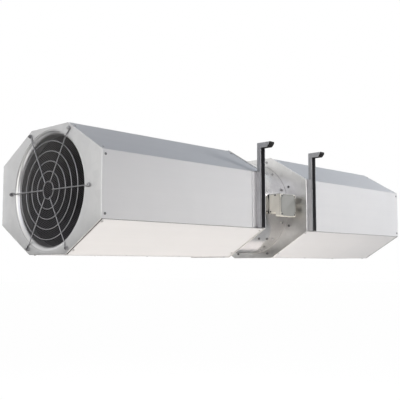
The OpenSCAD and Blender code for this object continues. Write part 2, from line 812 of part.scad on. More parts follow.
module terminal_box() {
    color(cream) difference() {
        union() {
            difference() {
                union() {
                    on_box(box_step_y, box_front) box_outline(0);
                    on_box(drum_r - 8, box_step_y + eps) box_back_outline(0);
                }
                on_box(box_step_y + box_wall, box_front + 1) box_outline(box_wall);
                on_box(box_floor, box_step_y + box_wall + 1) box_back_outline(box_wall);
            }
            for (p = lid_screw_xz) on_box(box_front - post_l, box_front) translate(p) circle(post_r, $fn = 32);
        }
        disc_x(box_x - 1, box_x + box_w + 1, drum_r + lay_fit);
        for (p = lid_screw_xz) on_box(box_front - post_l + 3, box_front + 1) translate(p)
            circle(lid_screw_r + hole_fit, $fn = 24);
        around(0) translate([duct_x, 0, drum_r - 2]) cylinder(h = 8, r = duct_r + hole_fit);
        for (x = box_screw_xs) around(0) translate([x, 0, drum_r - 2])
            cylinder(h = 8, r = lid_screw_r + hole_fit, $fn = 24);
        for (z = plug_zs) translate([box_x + box_w - box_wall - 2, -plug_y, z])
            rotate([0, 90, 0]) cylinder(h = box_wall + 4, r = plug_r + hole_fit);
        for (p = box_side_screws) translate([box_x - 1, p[0], p[1]]) rotate([0, 90, 0])
            cylinder(h = box_wall + 4, r = lid_screw_r + hole_fit, $fn = 24);
    }
}

module box_gasket() {
    color(dark) on_box(box_front, box_front + gasket_t) difference() {
        box_outline(1);
        box_outline(box_wall + 1);
        for (p = lid_screw_xz) translate(p) circle(lid_screw_r + hole_fit, $fn = 24);
    }
}

module box_lid() {
    lid_y = box_front + gasket_t;
    color(cover_green) difference() {
        union() {
            on_box(lid_y, lid_y + lid_t - 2) box_outline(0);
            on_box(lid_y + lid_t - 2 - eps, lid_y + lid_t) box_outline(1.5);
        }
        on_box(lid_y - 1, lid_y + lid_t - 2.5) box_outline(box_wall + post_r * 2);
        for (p = lid_screw_xz) {
            on_box(lid_y - 1, lid_y + lid_t + 1) translate(p) circle(lid_screw_r + hole_fit, $fn = 24);
            on_box(lid_y + lid_t - 1.6, lid_y + lid_t + 1) translate(p) circle(lid_screw_r * 2.2, $fn = 32);
        }
    }
}

// Lid screws, the two small screws in the box's side and the two that hold it on the drum
box_side_screws = [[-box_step_y + 2, box_top - 5], [-drum_r - 6, -box_step_z + 5]];
module box_screws() {
    lid_top = box_front + gasket_t + lid_t - 1.6;
    color(dark) {
        for (p = lid_screw_xz) translate([box_x + p[0], -lid_top, p[1] - box_bottom])
            rotate([90, 0, 0]) screw(lid_screw_r, lid_top - box_front + post_l - 5, lid_screw_r * 2, 1.5);
        for (p = box_side_screws) translate([box_x, p[0], p[1]]) rotate([0, -90, 0])
            screw(lid_screw_r, box_wall + 3, lid_screw_r * 1.7, 1.5);
        for (x = box_screw_xs) around(0) translate([x, 0, box_floor])
            screw(lid_screw_r, box_floor - drum_in + 3, lid_screw_r * 2, 2);
    }
}

module terminal_block() {
    block = [40, 12, 13];
    color("tan") translate([duct_x - block[0] / 2, -box_floor - block[2], duct_r + 3]) difference() {
        cube([block[0], block[2], block[1]]);
        for (k = [0 : 3]) translate([5 + 10 * k, -1, block[1] / 2]) rotate([-90, 0, 0])
            cylinder(h = 6, r = 2.5, $fn = 24);
    }
}

// Closed plugs in the two cable entries
module blanking_plugs() {
    color(dark) for (z = plug_zs) translate([box_x + box_w, -plug_y, z]) rotate([0, 90, 0]) {
        cylinder(h = 2, r = plug_r + 1.5);
        translate([0, 0, -box_wall - 1]) cylinder(h = box_wall + 1 + eps, r = plug_r);
    }
}

// Tube that leads the motor's wires from the frame through the drum into the box
module cable_duct() {
    color(dark) around(0) translate([duct_x, 0, pad_r + 2 + lay_fit]) difference() {
        cylinder(h = box_floor - 0.5 - pad_r - 2, r = duct_r);
        translate([0, 0, -1]) cylinder(h = box_floor, r = duct_r - 1.5);
    }
}

// ---- hangers ----

// Local frame of a hanger: y is out from the side wall, x is away from the fan, z is up
module at_hanger(sx, sy) {
    mirror([sx < 0 ? 1 : 0, 0, 0]) mirror([0, sy < 0 ? 1 : 0, 0]) translate([hanger_x, side_y, 0]) children();
}

module hanger_hole(r, y0, y1) {
    for (s = [-1, 1]) translate([0, y1, s * hanger_bolt_z]) rotate([90, 0, 0])
        cylinder(h = y1 - y0, r = r + 2 * hole_fit, $fn = 32);
}

// The same holes in the frame of a silencer
module hanger_holes() {
    for (sy = [0, 1]) mirror([0, sy, 0]) translate([hanger_in + plate_t, side_y, 0])
        hanger_hole(hanger_bolt_r, -rim_in - 2, 2);
}

module rail(sx, sy) {
    wall_h = side_flat_h;
    color(galvanised) at_hanger(sx, sy) difference() {
        union() {
            translate([-hanger_in + soft_gap, 0, -wall_h / 2])
                cube([hanger_in - soft_gap + rail_half + rail_flange, rail_t, wall_h]);
            for (x = [-rail_half, rail_half - rail_wall])
                translate([x, 0, -wall_h / 2]) cube([rail_wall, rail_h, wall_h]);
        }
        hanger_hole(hanger_bolt_r, -1, rail_t + 1);
    }
}

// Side view of a leg and its arm, in Y and Z
module leg_outline() {
    back = rail_t;
    front = rail_t + leg_d;
    foot = -side_flat_h / 2;
    polygon([[back, foot], [front, foot], [front, hanger_top - arm_h],
        [arm_reach - arm_cut, hanger_top - arm_h], [arm_reach - 2, hanger_top - arm_tip - 3],
        [arm_reach, hanger_top - arm_tip], [arm_reach, hanger_top], [back, hanger_top]]);
}

// Channel leg, open outward, whose arm bends out over the anchor and is open below
module leg(sx, sy) {
    color(bracket_grey) at_hanger(sx, sy) difference() {
        translate([-leg_w / 2, 0, 0]) along_x(0, leg_w) leg_outline();
        translate([-leg_w / 2 + leg_t, rail_t + leg_t, -side_flat_h])
            cube([leg_w - 2 * leg_t, arm_reach, side_flat_h + hanger_top - leg_t]);
        hanger_hole(hanger_bolt_r, 0, rail_t + leg_t + 1);
        translate([0, anchor_out, hanger_top - leg_t - 1]) cylinder(h = leg_t + 2, r = anchor_r);
    }
}

module hanger_bolts() {
    color(dark) for (sx = [-1, 1]) for (sy = [-1, 1]) for (s = [-1, 1]) at_hanger(sx, sy)
        translate([0, rail_t + leg_t, s * hanger_bolt_z]) rotate([-90, 0, 0])
            bolt_and_nut(hanger_bolt_r, rail_t + leg_t + rim_in);
}

upper_shell(-1);  // inlet_upper_shell
lower_tray(-1);  // inlet_lower_tray
end_plate(-1);  // inlet_end_plate
nozzle(-1);  // inlet_nozzle
liner(-1);  // inlet_liner
wool(-1);  // inlet_wool
fan_plate(-1);  // inlet_fan_plate
guard(-1);  // inlet_guard
drum_ring(-1);  // inlet_drum_ring
panel_screws(-1);  // inlet_panel_screws
upper_shell(1);  // outlet_upper_shell
lower_tray(1);  // outlet_lower_tray
end_plate(1);  // outlet_end_plate
nozzle(1);  // outlet_nozzle
liner(1);  // outlet_liner
wool(1);  // outlet_wool
fan_plate(1);  // outlet_fan_plate
guard(1);  // outlet_guard
drum_ring(1);  // outlet_drum_ring
panel_screws(1);  // outlet_panel_screws
guard_screws();
plate_screws();
drum_screws();
drum();
motor_supports();
motor_screws();
motor_frame();
shield(motor_x - shield_t, 1, true);  // drive_shield
shield(motor_end + shield_t, -1, false);  // rear_shield
bearing(drive_bearing_x);  // drive_bearing
bearing(rear_bearing_x);  // rear_bearing
stator_core();
motor_shaft();
rotor_core();
impeller_hub();
blade(0);  // blade_1
blade(1);  // blade_2
blade(2);  // blade_3
blade(3);  // blade_4
blade(4);  // blade_5
blade(5);  // blade_6
hub_bolt();
nose_cap();
cable_duct();
terminal_box();
box_gasket();
box_lid();
box_screws();
terminal_block();
blanking_plugs();
leg(-1, -1);  // leg_inlet_near
leg(-1, 1);  // leg_inlet_far
leg(1, -1);  // leg_outlet_near
leg(1, 1);  // leg_outlet_far
rail(-1, -1);  // rail_inlet_near
rail(-1, 1);  // rail_inlet_far
rail(1, -1);  // rail_outlet_near
rail(1, 1);  // rail_outlet_far
hanger_bolts();
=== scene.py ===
import bmesh
import bpy
from math import atan2, cos, pi, radians, sin, sqrt, tan
from mathutils import Matrix, Vector, noise


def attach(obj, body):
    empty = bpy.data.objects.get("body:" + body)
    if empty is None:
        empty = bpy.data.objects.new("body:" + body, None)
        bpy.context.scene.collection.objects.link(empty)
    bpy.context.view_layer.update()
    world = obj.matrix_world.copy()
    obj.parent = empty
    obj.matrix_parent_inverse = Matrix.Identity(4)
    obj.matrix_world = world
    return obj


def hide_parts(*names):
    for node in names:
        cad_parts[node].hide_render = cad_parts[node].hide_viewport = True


# Looks of the car-park jet fan. Lengths are in millimetres until a mesh is made, which is in metres.
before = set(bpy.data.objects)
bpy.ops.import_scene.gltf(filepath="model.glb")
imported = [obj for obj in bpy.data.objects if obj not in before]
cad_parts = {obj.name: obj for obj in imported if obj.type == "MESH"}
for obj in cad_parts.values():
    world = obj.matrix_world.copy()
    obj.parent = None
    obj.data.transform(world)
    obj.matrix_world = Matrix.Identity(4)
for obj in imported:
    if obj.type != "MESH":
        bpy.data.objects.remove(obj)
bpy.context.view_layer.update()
scene = bpy.context.scene
mm = 0.001
print("frame loaded:", len(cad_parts), "nodes")

cameraSettings = {"place": (-1.8583, -1.6159, -0.2070), "yaw": 43.685, "pitch": 5.397, "lens": 61.59,
                  "sensor": 36, "near": 0.05, "far": 200}


def makeCamera(s):
    data = bpy.data.cameras.new("camera")
    data.lens = s["lens"]
    data.sensor_width = s["sensor"]
    data.clip_start = s["near"]
    data.clip_end = s["far"]
    camera = bpy.data.objects.new("camera", data)
    yaw = radians(s["yaw"])
    pitch = radians(s["pitch"])
    ahead = Vector((cos(yaw) * cos(pitch), sin(yaw) * cos(pitch), sin(pitch)))
    camera.location = s["place"]
    camera.rotation_mode = "QUATERNION"
    camera.rotation_quaternion = ahead.to_track_quat("-Z", "Y")
    scene.collection.objects.link(camera)
    scene.camera = camera


makeCamera(cameraSettings)
scene.view_settings.view_transform = "Standard"
print("camera ready")


def addNode(tree, kind, values=None, **options):
    node = tree.nodes.new(kind)
    for key, value in options.items():
        setattr(node, key, value)
    for key, value in (values or {}).items():
        node.inputs[key].default_value = value
    return node


def mathNode(tree, operation, a, b=None, clamp=False):
    node = addNode(tree, "ShaderNodeMath", operation=operation, use_clamp=clamp)
    for slot, value in ((0, a), (1, b)):
        if value is None:
            continue
        if isinstance(value, (int, float)):
            node.inputs[slot].default_value = value
        else:
            tree.links.new(value, node.inputs[slot])
    return node.outputs[0]


def remap(tree, value, low, high, outLow=0.0, outHigh=1.0):
    limits = {"From Min": low, "From Max": high, "To Min": outLow, "To Max": outHigh}
    node = addNode(tree, "ShaderNodeMapRange", limits)
    tree.links.new(value, node.inputs["Value"])
    return node.outputs["Result"]


def makeGroup(name, inputs, outputs):
    group = bpy.data.node_groups.new(name, "ShaderNodeTree")
    for label, kind, value in inputs:
        socket = group.interface.new_socket(label, in_out="INPUT", socket_type="NodeSocket" + kind)
        socket.default_value = value
    for label, kind in outputs:
        group.interface.new_socket(label, in_out="OUTPUT", socket_type="NodeSocket" + kind)
    start = group.nodes.new("NodeGroupInput")
    end = group.nodes.new("NodeGroupOutput")
    return group, start, end


def objectPoint(tree):
    return tree.nodes.new("ShaderNodeTexCoord").outputs["Object"]


noiseSpan = (0.3, 0.7)  # most values of a noise lie in here


def noiseNode(tree, values, scale=None, point=None):
    # noise in the object's own space, with its scale fixed or taken from a group's input
    node = addNode(tree, "ShaderNodeTexNoise", values)
    tree.links.new(objectPoint(tree) if point is None else point, node.inputs["Vector"])
    if scale is not None:
        tree.links.new(scale, node.inputs["Scale"])
    return node


def makeGrainGroup():  # fine even grain of paint or moulding
    inputs = [("Scale", "Float", 900.0)]
    group, start, end = makeGroup("fineGrain", inputs, [("Shade", "Float"), ("Height", "Float")])
    fine = noiseNode(group, {"Detail": 2.0, "Roughness": 0.6}, start.outputs["Scale"])
    group.links.new(fine.outputs["Fac"], end.inputs["Height"])
    group.links.new(remap(group, fine.outputs["Fac"], *noiseSpan), end.inputs["Shade"])
    return group


def makeRollGroup():  # long faint marks of rolled or drawn metal
    inputs = [("Scale", "Float", 60.0), ("Stretch", "Vector", (0.02, 1, 1))]
    group, start, end = makeGroup("rollMarks", inputs, [("Shade", "Float"), ("Height", "Float")])
    scaled = addNode(group, "ShaderNodeVectorMath", operation="MULTIPLY")
    group.links.new(objectPoint(group), scaled.inputs[0])
    group.links.new(start.outputs["Stretch"], scaled.inputs[1])
    marks = noiseNode(group, {"Detail": 5.0, "Roughness": 0.65}, start.outputs["Scale"], scaled.outputs[0])
    group.links.new(remap(group, marks.outputs["Fac"], *noiseSpan), end.inputs["Shade"])
    group.links.new(marks.outputs["Fac"], end.inputs["Height"])
    return group


spangleEffect = {"wobble": 0.004, "wobbleScale": 120.0}


def makeSpangleGroup():  # crystals of a zinc coat
    s = spangleEffect
    inputs = [("Scale", "Float", 90.0)]
    group, start, end = makeGroup("zincSpangle", inputs, [("Shade", "Float"), ("Height", "Float")])
    links = group.links
    bent = noiseNode(group, {"Scale": s["wobbleScale"], "Detail": 2.0})
    moved = addNode(group, "ShaderNodeVectorMath", {1: (s["wobble"],) * 3}, operation="MULTIPLY_ADD")
    links.new(bent.outputs["Color"], moved.inputs[0])
    links.new(objectPoint(group), moved.inputs[2])
    cells = addNode(group, "ShaderNodeTexVoronoi", feature="F1")
    links.new(moved.outputs[0], cells.inputs["Vector"])
    links.new(start.outputs["Scale"], cells.inputs["Scale"])
    tone = addNode(group, "ShaderNodeSeparateColor")
    links.new(cells.outputs["Color"], tone.inputs[0])
    links.new(tone.outputs[0], end.inputs["Shade"])
    links.new(cells.outputs["Distance"], end.inputs["Height"])
    return group


def makeToneGroup():  # broad uneven tone left by handling and weather
    group, start, end = makeGroup("broadTone", [("Scale", "Float", 5.0)], [("Shade", "Float")])
    look = {"Detail": 4.0, "Roughness": 0.55, "Distortion": 0.4}
    broad = noiseNode(group, look, start.outputs["Scale"])
    group.links.new(remap(group, broad.outputs["Fac"], *noiseSpan), end.inputs["Shade"])
    return group


edgeEffect = {"flat": 0.995, "worn": 0.80, "patches": 160.0, "patchSpan": (0.35, 0.65), "samples": 4}


def makeEdgeGroup():  # mask of outer edges, broken up as rubbed paint is
    s = edgeEffect
    inputs = [("Radius", "Float", 0.0012), ("Amount", "Float", 1.0)]
    group, start, end = makeGroup("rubbedEdges", inputs, [("Mask", "Float")])
    links = group.links
    rounded = addNode(group, "ShaderNodeBevel", samples=s["samples"])
    links.new(start.outputs["Radius"], rounded.inputs["Radius"])
    plain = group.nodes.new("ShaderNodeNewGeometry")
    dot = addNode(group, "ShaderNodeVectorMath", operation="DOT_PRODUCT")
    links.new(rounded.outputs[0], dot.inputs[0])
    links.new(plain.outputs["Normal"], dot.inputs[1])
    edge = remap(group, dot.outputs["Value"], s["flat"], s["worn"])
    patches = noiseNode(group, {"Scale": s["patches"], "Detail": 3.0})
    spotty = mathNode(group, "MULTIPLY", edge, remap(group, patches.outputs["Fac"], *s["patchSpan"]))
    links.new(mathNode(group, "MULTIPLY", spotty, start.outputs["Amount"], True), end.inputs["Mask"])
    return group


dustEffect = {"slant": 0.35, "patches": 14.0, "thinnest": 0.4}


def makeDustGroup():  # thin dust that settles on faces that look up
    s = dustEffect
    group, start, end = makeGroup("settledDust", [("Amount", "Float", 0.3)], [("Mask", "Float")])
    links = group.links
    place = group.nodes.new("ShaderNodeNewGeometry")
    parts = group.nodes.new("ShaderNodeSeparateXYZ")
    links.new(place.outputs["Normal"], parts.inputs[0])
    up = remap(group, parts.outputs["Z"], s["slant"], 1.0)
    patch = noiseNode(group, {"Scale": s["patches"], "Detail": 6.0, "Roughness": 0.7})
    thin = remap(group, patch.outputs["Fac"], *noiseSpan, s["thinnest"], 1.0)
    mask = mathNode(group, "MULTIPLY", up, thin)
    links.new(mathNode(group, "MULTIPLY", mask, start.outputs["Amount"], True), end.inputs["Mask"])
    return group


# distance of the staggered rows and the soft rim of a hole, in pitches
holesEffect = {"row": 0.866, "rim": (0.30, 0.26)}


def makeHolesGroup():  # staggered round holes of a perforated tube about the X axis
    s = holesEffect
    inputs = [("Pitch", "Float", 0.006), ("Tube Radius", "Float", 0.159)]
    group, start, end = makeGroup("perforation", inputs, [("Mask", "Float")])

    def sums(operation, a, b=None):
        return mathNode(group, operation, a, b)
    parts = group.nodes.new("ShaderNodeSeparateXYZ")
    group.links.new(objectPoint(group), parts.inputs[0])
    pitch = start.outputs["Pitch"]
    turn = sums("ARCTAN2", parts.outputs["Y"], parts.outputs["Z"])
    around = sums("DIVIDE", sums("MULTIPLY", turn, start.outputs["Tube Radius"]), pitch)
    along = sums("DIVIDE", parts.outputs["X"], sums("MULTIPLY", pitch, s["row"]))
    odd = sums("MULTIPLY", sums("MODULO", sums("FLOOR", along), 2.0), 0.5)
    u = sums("SUBTRACT", sums("FRACT", sums("ADD", around, odd)), 0.5)
    v = sums("MULTIPLY", sums("SUBTRACT", sums("FRACT", along), 0.5), s["row"])
    far = sums("SQRT", sums("ADD", sums("MULTIPLY", u, u), sums("MULTIPLY", v, v)))
    group.links.new(remap(group, far, *s["rim"]), end.inputs["Mask"])
    return group


effects = {
    "grain": makeGrainGroup(), "roll": makeRollGroup(), "spangle": makeSpangleGroup(),
    "tone": makeToneGroup(), "edge": makeEdgeGroup(), "dust": makeDustGroup(), "holes": makeHolesGroup(),
}
print("shared effects ready:", len(effects))


def effectNode(tree, name, values=None):
    node = tree.nodes.new("ShaderNodeGroup")
    node.node_tree = effects[name]
    for key, value in (values or {}).items():
        node.inputs[key].default_value = value
    return node


def blendColour(tree, factor, a, b):
    mix = addNode(tree, "ShaderNodeMix", data_type="RGBA")
    tree.links.new(factor, mix.inputs[0])
    for slot, value in ((6, a), (7, b)):
        if isinstance(value, tuple):
            mix.inputs[slot].default_value = (*value, 1)
        else:
            tree.links.new(value, mix.inputs[slot])
    return mix.outputs[2]


layerShares = {"grain": 0.3, "spangle": 0.55, "roll": 0.4}  # how much of the shade each layer takes
holeColour = (0.004, 0.004, 0.004)
holeDepth = 6.0  # against the other layers' height
dustColour = (0.42, 0.40, 0.37)


def makeFinish(name, s):
    # s: dark and light tone, metal, rough (low, high), shader values, and which effects it has
    material = bpy.data.materials.new(name)
    material.use_nodes = True
    tree = material.node_tree
    shader = tree.nodes["Principled BSDF"]
    shader.inputs["Metallic"].default_value = s.get("metal", 0.0)
    for key, value in s.get("shader", {}).items():
        shader.inputs[key].default_value = value
    shade = effectNode(tree, "tone", {"Scale": s.get("toneScale", 5.0)}).outputs["Shade"]
    height = None
    layers = {"grain": {"Scale": s.get("grain")}, "spangle": {"Scale": s.get("spangle")},
              "roll": {"Scale": s.get("rollScale"), "Stretch": s.get("roll")}}
    for effect, values in layers.items():
        if effect not in s:
            continue
        layer = effectNode(tree, effect, values)
        share = layerShares[effect]
        under = mathNode(tree, "MULTIPLY", shade, 1 - share)
        shade = mathNode(tree, "ADD", under, mathNode(tree, "MULTIPLY", layer.outputs["Shade"], share))
        if effect != "spangle":  # the crystals are flat
            added = layer.outputs["Height"]
            height = added if height is None else mathNode(tree, "ADD", height, added)
    colour = blendColour(tree, shade, s["dark"], s["light"])
    if "edge" in s:
        edge = effectNode(tree, "edge", {"Amount": s["edge"][0]})
        colour = blendColour(tree, edge.outputs["Mask"], colour, s["edge"][1])
    if "holes" in s:
        holes = effectNode(tree, "holes", {"Tube Radius": s["holes"]}).outputs["Mask"]
        colour = blendColour(tree, holes, colour, holeColour)
        height = mathNode(tree, "SUBTRACT", height, mathNode(tree, "MULTIPLY", holes, holeDepth))
    if "dust" in s:
        dust = effectNode(tree, "dust", {"Amount": s["dust"]})
        colour = blendColour(tree, dust.outputs["Mask"], colour, dustColour)
    tree.links.new(colour, shader.inputs["Base Color"])
    tree.links.new(remap(tree, shade, 0, 1, *s["rough"]), shader.inputs["Roughness"])
    if height is not None:
        relief = {"Strength": s.get("bump", 0.2), "Distance": s.get("depth", 0.0001)}
        bump = addNode(tree, "ShaderNodeBump", relief)
        tree.links.new(height, bump.inputs["Height"])
        tree.links.new(bump.outputs["Normal"], shader.inputs["Normal"])
    return material


finishSettings = {
    "casing_sheet": {"dark": (0.60, 0.605, 0.615), "light": (0.66, 0.663, 0.67), "rough": (0.42, 0.50),
                     "grain": 700.0, "roll": (0.03, 1, 1), "rollScale": 26.0, "bump": 0.12, "dust": 0.06,
                     "shader": {"Specular IOR Level": 0.35}},
    "end_sheet": {"dark": (0.55, 0.55, 0.552), "light": (0.61, 0.61, 0.61), "rough": (0.32, 0.40),
                  "metal": 0.7, "grain": 800.0, "spangle": 45.0, "bump": 0.12},
    "spun_sheet": {"dark": (0.56, 0.56, 0.56), "light": (0.64, 0.64, 0.64), "rough": (0.30, 0.38),
                   "metal": 0.75, "grain": 800.0, "bump": 0.1},
    "galvanised_sheet": {"dark": (0.60, 0.594, 0.583), "light": (0.71, 0.704, 0.692), "rough": (0.28, 0.36),
                         "metal": 0.95, "grain": 900.0, "spangle": 55.0, "bump": 0.15},
    "drum_sheet": {"dark": (0.50, 0.495, 0.49), "light": (0.60, 0.595, 0.585), "rough": (0.15, 0.22),
                   "metal": 0.95, "grain": 900.0, "spangle": 55.0, "bump": 0.12},
    "rail_sheet": {"dark": (0.49, 0.49, 0.50), "light": (0.55, 0.55, 0.56), "rough": (0.45, 0.55),
                   "metal": 0.15, "grain": 900.0, "spangle": 60.0, "bump": 0.15},
    "black_liner": {"dark": (0.203, 0.198, 0.198), "light": (0.243, 0.238, 0.238), "rough": (0.55, 0.7),
                    "grain": 800.0, "holes": 0.159, "bump": 0.6, "depth": 0.0004},
    "mineral_wool": {"dark": (0.34, 0.30, 0.17), "light": (0.60, 0.55, 0.36), "rough": (0.9, 1.0),
                     "toneScale": 30.0, "grain": 500.0, "roll": (0.2, 1, 1), "rollScale": 300.0,
                     "bump": 0.8, "depth": 0.002},
    "guard_wire": {"dark": (0.25, 0.252, 0.26), "light": (0.32, 0.322, 0.33), "rough": (0.30, 0.42),
                   "metal": 0.5, "grain": 1200.0, "bump": 0.2},
    "hanger_steel": {"dark": (0.33, 0.335, 0.35), "light": (0.42, 0.426, 0.44), "rough": (0.38, 0.5),
                     "metal": 0.15, "grain": 1100.0, "bump": 0.3, "edge": (0.35, (0.45, 0.45, 0.46)),
                     "dust": 0.12},
    # painted shade: near-black copy of the hanger steel for the channel's shaded inside
    "hanger_inside_painted_shade": {"dark": (0.035, 0.035, 0.038), "light": (0.055, 0.055, 0.06), "rough": (0.5, 0.65),
                      "grain": 1100.0, "bump": 0.3},
    # painted highlight: a lighter copy of the zinc below, for screws placed where light catches them
    "zinc_painted_highlight": {"dark": (0.36, 0.36, 0.36), "light": (0.50, 0.50, 0.50), "rough": (0.3, 0.45),
                    "metal": 0.7, "toneScale": 200.0, "grain": 1500.0, "bump": 0.2},
    # dark zinc, made darker still as painted shade of the screws' recesses
    "zinc_fasteners": {"dark": (0.10, 0.10, 0.105), "light": (0.20, 0.20, 0.205), "rough": (0.32, 0.5),
                       "metal": 0.8, "toneScale": 200.0, "grain": 1500.0, "bump": 0.2},
    "dark_fasteners": {"dark": (0.035, 0.035, 0.038), "light": (0.08, 0.08, 0.085), "rough": (0.35, 0.5),
                       "metal": 0.6, "toneScale": 200.0, "grain": 1500.0, "bump": 0.2},
    "motor_casting": {"dark": (0.13, 0.15, 0.17), "light": (0.19, 0.21, 0.23), "rough": (0.42, 0.55),
                      "grain": 420.0, "bump": 0.5, "edge": (0.3, (0.42, 0.43, 0.44)), "dust": 0.15,
                      "shader": {"Coat Weight": 0.2, "Coat Roughness": 0.3}},
    "bearing_steel": {"dark": (0.52, 0.52, 0.53), "light": (0.66, 0.66, 0.67), "rough": (0.16, 0.26),
                      "metal": 1.0, "roll": (1, 0.05, 0.05), "rollScale": 500.0, "bump": 0.1},
    "winding_copper": {"dark": (0.36, 0.15, 0.06), "light": (0.62, 0.30, 0.13), "rough": (0.25, 0.4),
                       "metal": 0.9, "roll": (0.05, 1, 1), "rollScale": 700.0, "bump": 0.6, "depth": 0.0004},
    "impeller_alloy": {"dark": (0.50, 0.51, 0.52), "light": (0.62, 0.63, 0.64), "rough": (0.34, 0.46),
                       "metal": 0.9, "grain": 600.0, "bump": 0.35, "edge": (0.25, (0.75, 0.75, 0.76))},
    "cream_plastic": {"dark": (0.70, 0.682, 0.618), "light": (0.76, 0.744, 0.68), "rough": (0.42, 0.52),
                      "grain": 1400.0, "bump": 0.35, "dust": 0.1},
    "cover_plastic": {"dark": (0.18, 0.184, 0.168), "light": (0.21, 0.214, 0.197), "rough": (0.42, 0.52),
                      "grain": 1400.0, "bump": 0.35, "dust": 0.06},
    "black_rubber": {"dark": (0.018, 0.018, 0.018), "light": (0.034, 0.034, 0.034), "rough": (0.6, 0.75),
                     "grain": 1000.0, "bump": 0.4},
    # painted shade: near-black finish for the cap and plug in the arm's open end
    "black_cap": {"dark": (0.006, 0.006, 0.006), "light": (0.012, 0.012, 0.012), "rough": (0.6, 0.75),
                  "grain": 1000.0, "bump": 0.3, "shader": {"Specular IOR Level": 0.2}},
    "block_plastic": {"dark": (0.42, 0.32, 0.18), "light": (0.50, 0.40, 0.25), "rough": (0.4, 0.5),
                      "grain": 1500.0, "bump": 0.3},
    "sealant": {"dark": (0.44, 0.436, 0.43), "light": (0.50, 0.496, 0.49), "rough": (0.5, 0.6),
                "metal": 0.4, "toneScale": 90.0, "grain": 500.0, "bump": 0.4},
}
materials = {name: makeFinish(name, settings) for name, settings in finishSettings.items()}
print("finishes ready:", len(materials))

# distances for welding points, in metres; angles in degrees
meshSettings = {"weld": 1e-7, "nodeWeld": 4e-6, "flatAngle": 0.6, "bevelFrom": 50.0, "sharpFrom": 38.0}
sheetEdge = (0.25, 1)  # rounded edge of cut sheet: width and segments
wireEnd = (35, 65, 85)  # angles of the rings that round the end of a wire
slack = 0.1  # allowance where two faces nearly meet
tiny = 1e-6
quarter = (0, 30, 60, 90)  # angles of a coarse quarter round


def addPiece(name, parts, finish, body="casing", stands=(), bevel=None, second=(),
             sharp=meshSettings["sharpFrom"]):
    # parts: (verts, faces) in millimetres; bevel: width and segments
    # finish is one name, or two where the parts counted in second have the other
    bm = bmesh.new()
    for number, (verts, faces) in enumerate(parts):
        made = [bm.verts.new(Vector(v) * mm) for v in verts]
        for face in faces:
            if len(set(face)) > 2:
                bm.faces.new([made[i] for i in face]).material_index = 1 if number in second else 0
    bmesh.ops.remove_doubles(bm, verts=bm.verts, dist=meshSettings["weld"])
    bmesh.ops.recalc_face_normals(bm, faces=bm.faces)
    if bevel:
        softenEdges(bm, *bevel)
    return finishPiece(name, bm, finish, body, stands, sharp)


def softenEdges(bm, width, segments):
    limit = radians(meshSettings["bevelFrom"])
    edges = [e for e in bm.edges if len(e.link_faces) == 2 and e.calc_face_angle() > limit]
    bmesh.ops.bevel(bm, geom=edges, offset=width * mm, segments=segments, profile=0.5, affect="EDGES",
                    clamp_overlap=True)


def finishPiece(name, bm, finish, body, stands, sharp):
    mesh = bpy.data.meshes.new(name)
    bm.to_mesh(mesh)
    bm.free()
    finishes = [finish] if isinstance(finish, str) else finish
    for each in finishes:
        mesh.materials.append(materials[each])
    mesh.shade_smooth()
    mesh.set_sharp_from_angle(angle=radians(sharp))
    piece = bpy.data.objects.new(name, mesh)
    scene.collection.objects.link(piece)
    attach(piece, body)
    if stands:
        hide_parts(*stands)
    return piece


def softenedCopy(name, node, finish, width, body):
    # the CAD node's own shape with rounded edges, as a piece that stands for it
    bm = bmesh.new()
    bm.from_mesh(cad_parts[node].data)
    bmesh.ops.remove_doubles(bm, verts=bm.verts, dist=meshSettings["nodeWeld"])
    flat = radians(meshSettings["flatAngle"])
    bmesh.ops.dissolve_limit(bm, angle_limit=flat, verts=bm.verts, edges=bm.edges)
    softenEdges(bm, width, 2)
    return finishPiece(name, bm, finish, body, (node,), meshSettings["sharpFrom"])


def circle(radius, count):
    return [(radius * cos(2 * pi * k / count), radius * sin(2 * pi * k / count)) for k in range(count)]


def degrees(*angles):
    return [radians(a) for a in angles]


def quads(count, a, b):
    # faces between two closed rings of count points, which start at a and b
    return [(a + k, a + (k + 1) % count, b + (k + 1) % count, b + k) for k in range(count)]


def lathe(profile, steps, side=1):
    # closed profile of (radius, x) points, turned about the X axis
    count = len(profile)
    turns = circle(1, steps)
    verts = [(side * x, r * c, r * s) for c, s in turns for r, x in profile]
    faces = []
    for k in range(steps):
        faces += quads(count, k * count, (k + 1) % steps * count)
    return verts, faces


def loftRings(rings, tips="joined"):
    # rings of equal length; the last is joined to the first, or both ends stay open or are capped
    count, total = len(rings[0]), len(rings)
    verts = [p for ring in rings for p in ring]
    faces = []
    for i in range(total if tips == "joined" else total - 1):
        faces += quads(count, i * count, (i + 1) % total * count)
    if tips == "capped":
        faces += [tuple(range(count)), tuple(range(len(verts) - count, len(verts)))]
    return verts, faces


def tube(path, radius, sides=12, closed=False):
    # round wire along a path, with rounded ends where it is open
    points = [Vector(p) for p in path]
    count = len(points)
    normal = None
    rings = []
    for i, p in enumerate(points):
        ahead = points[(i + 1) % count] if closed or i < count - 1 else p
        behind = points[i - 1] if closed or i > 0 else p
        d = (ahead - behind).normalized()
        if normal is None:
            normal = d.orthogonal().normalized()
        normal = (normal - d * normal.dot(d)).normalized()
        rings.append((p, d, normal, radius))
    if not closed:
        for end, sign in ((0, -1), (-1, 1)):
            p, d, n, r = rings[end]
            caps = [(p + d * sign * radius * sin(a), d, n, radius * cos(a)) for a in degrees(*wireEnd)]
            rings = caps[::-1] + rings if end == 0 else rings + caps
    outline = [[tuple(p + (n * c + d.cross(n) * s) * r) for c, s in circle(1, sides)] for p, d, n, r in rings]
    return loftRings(outline, "joined" if closed else "capped")


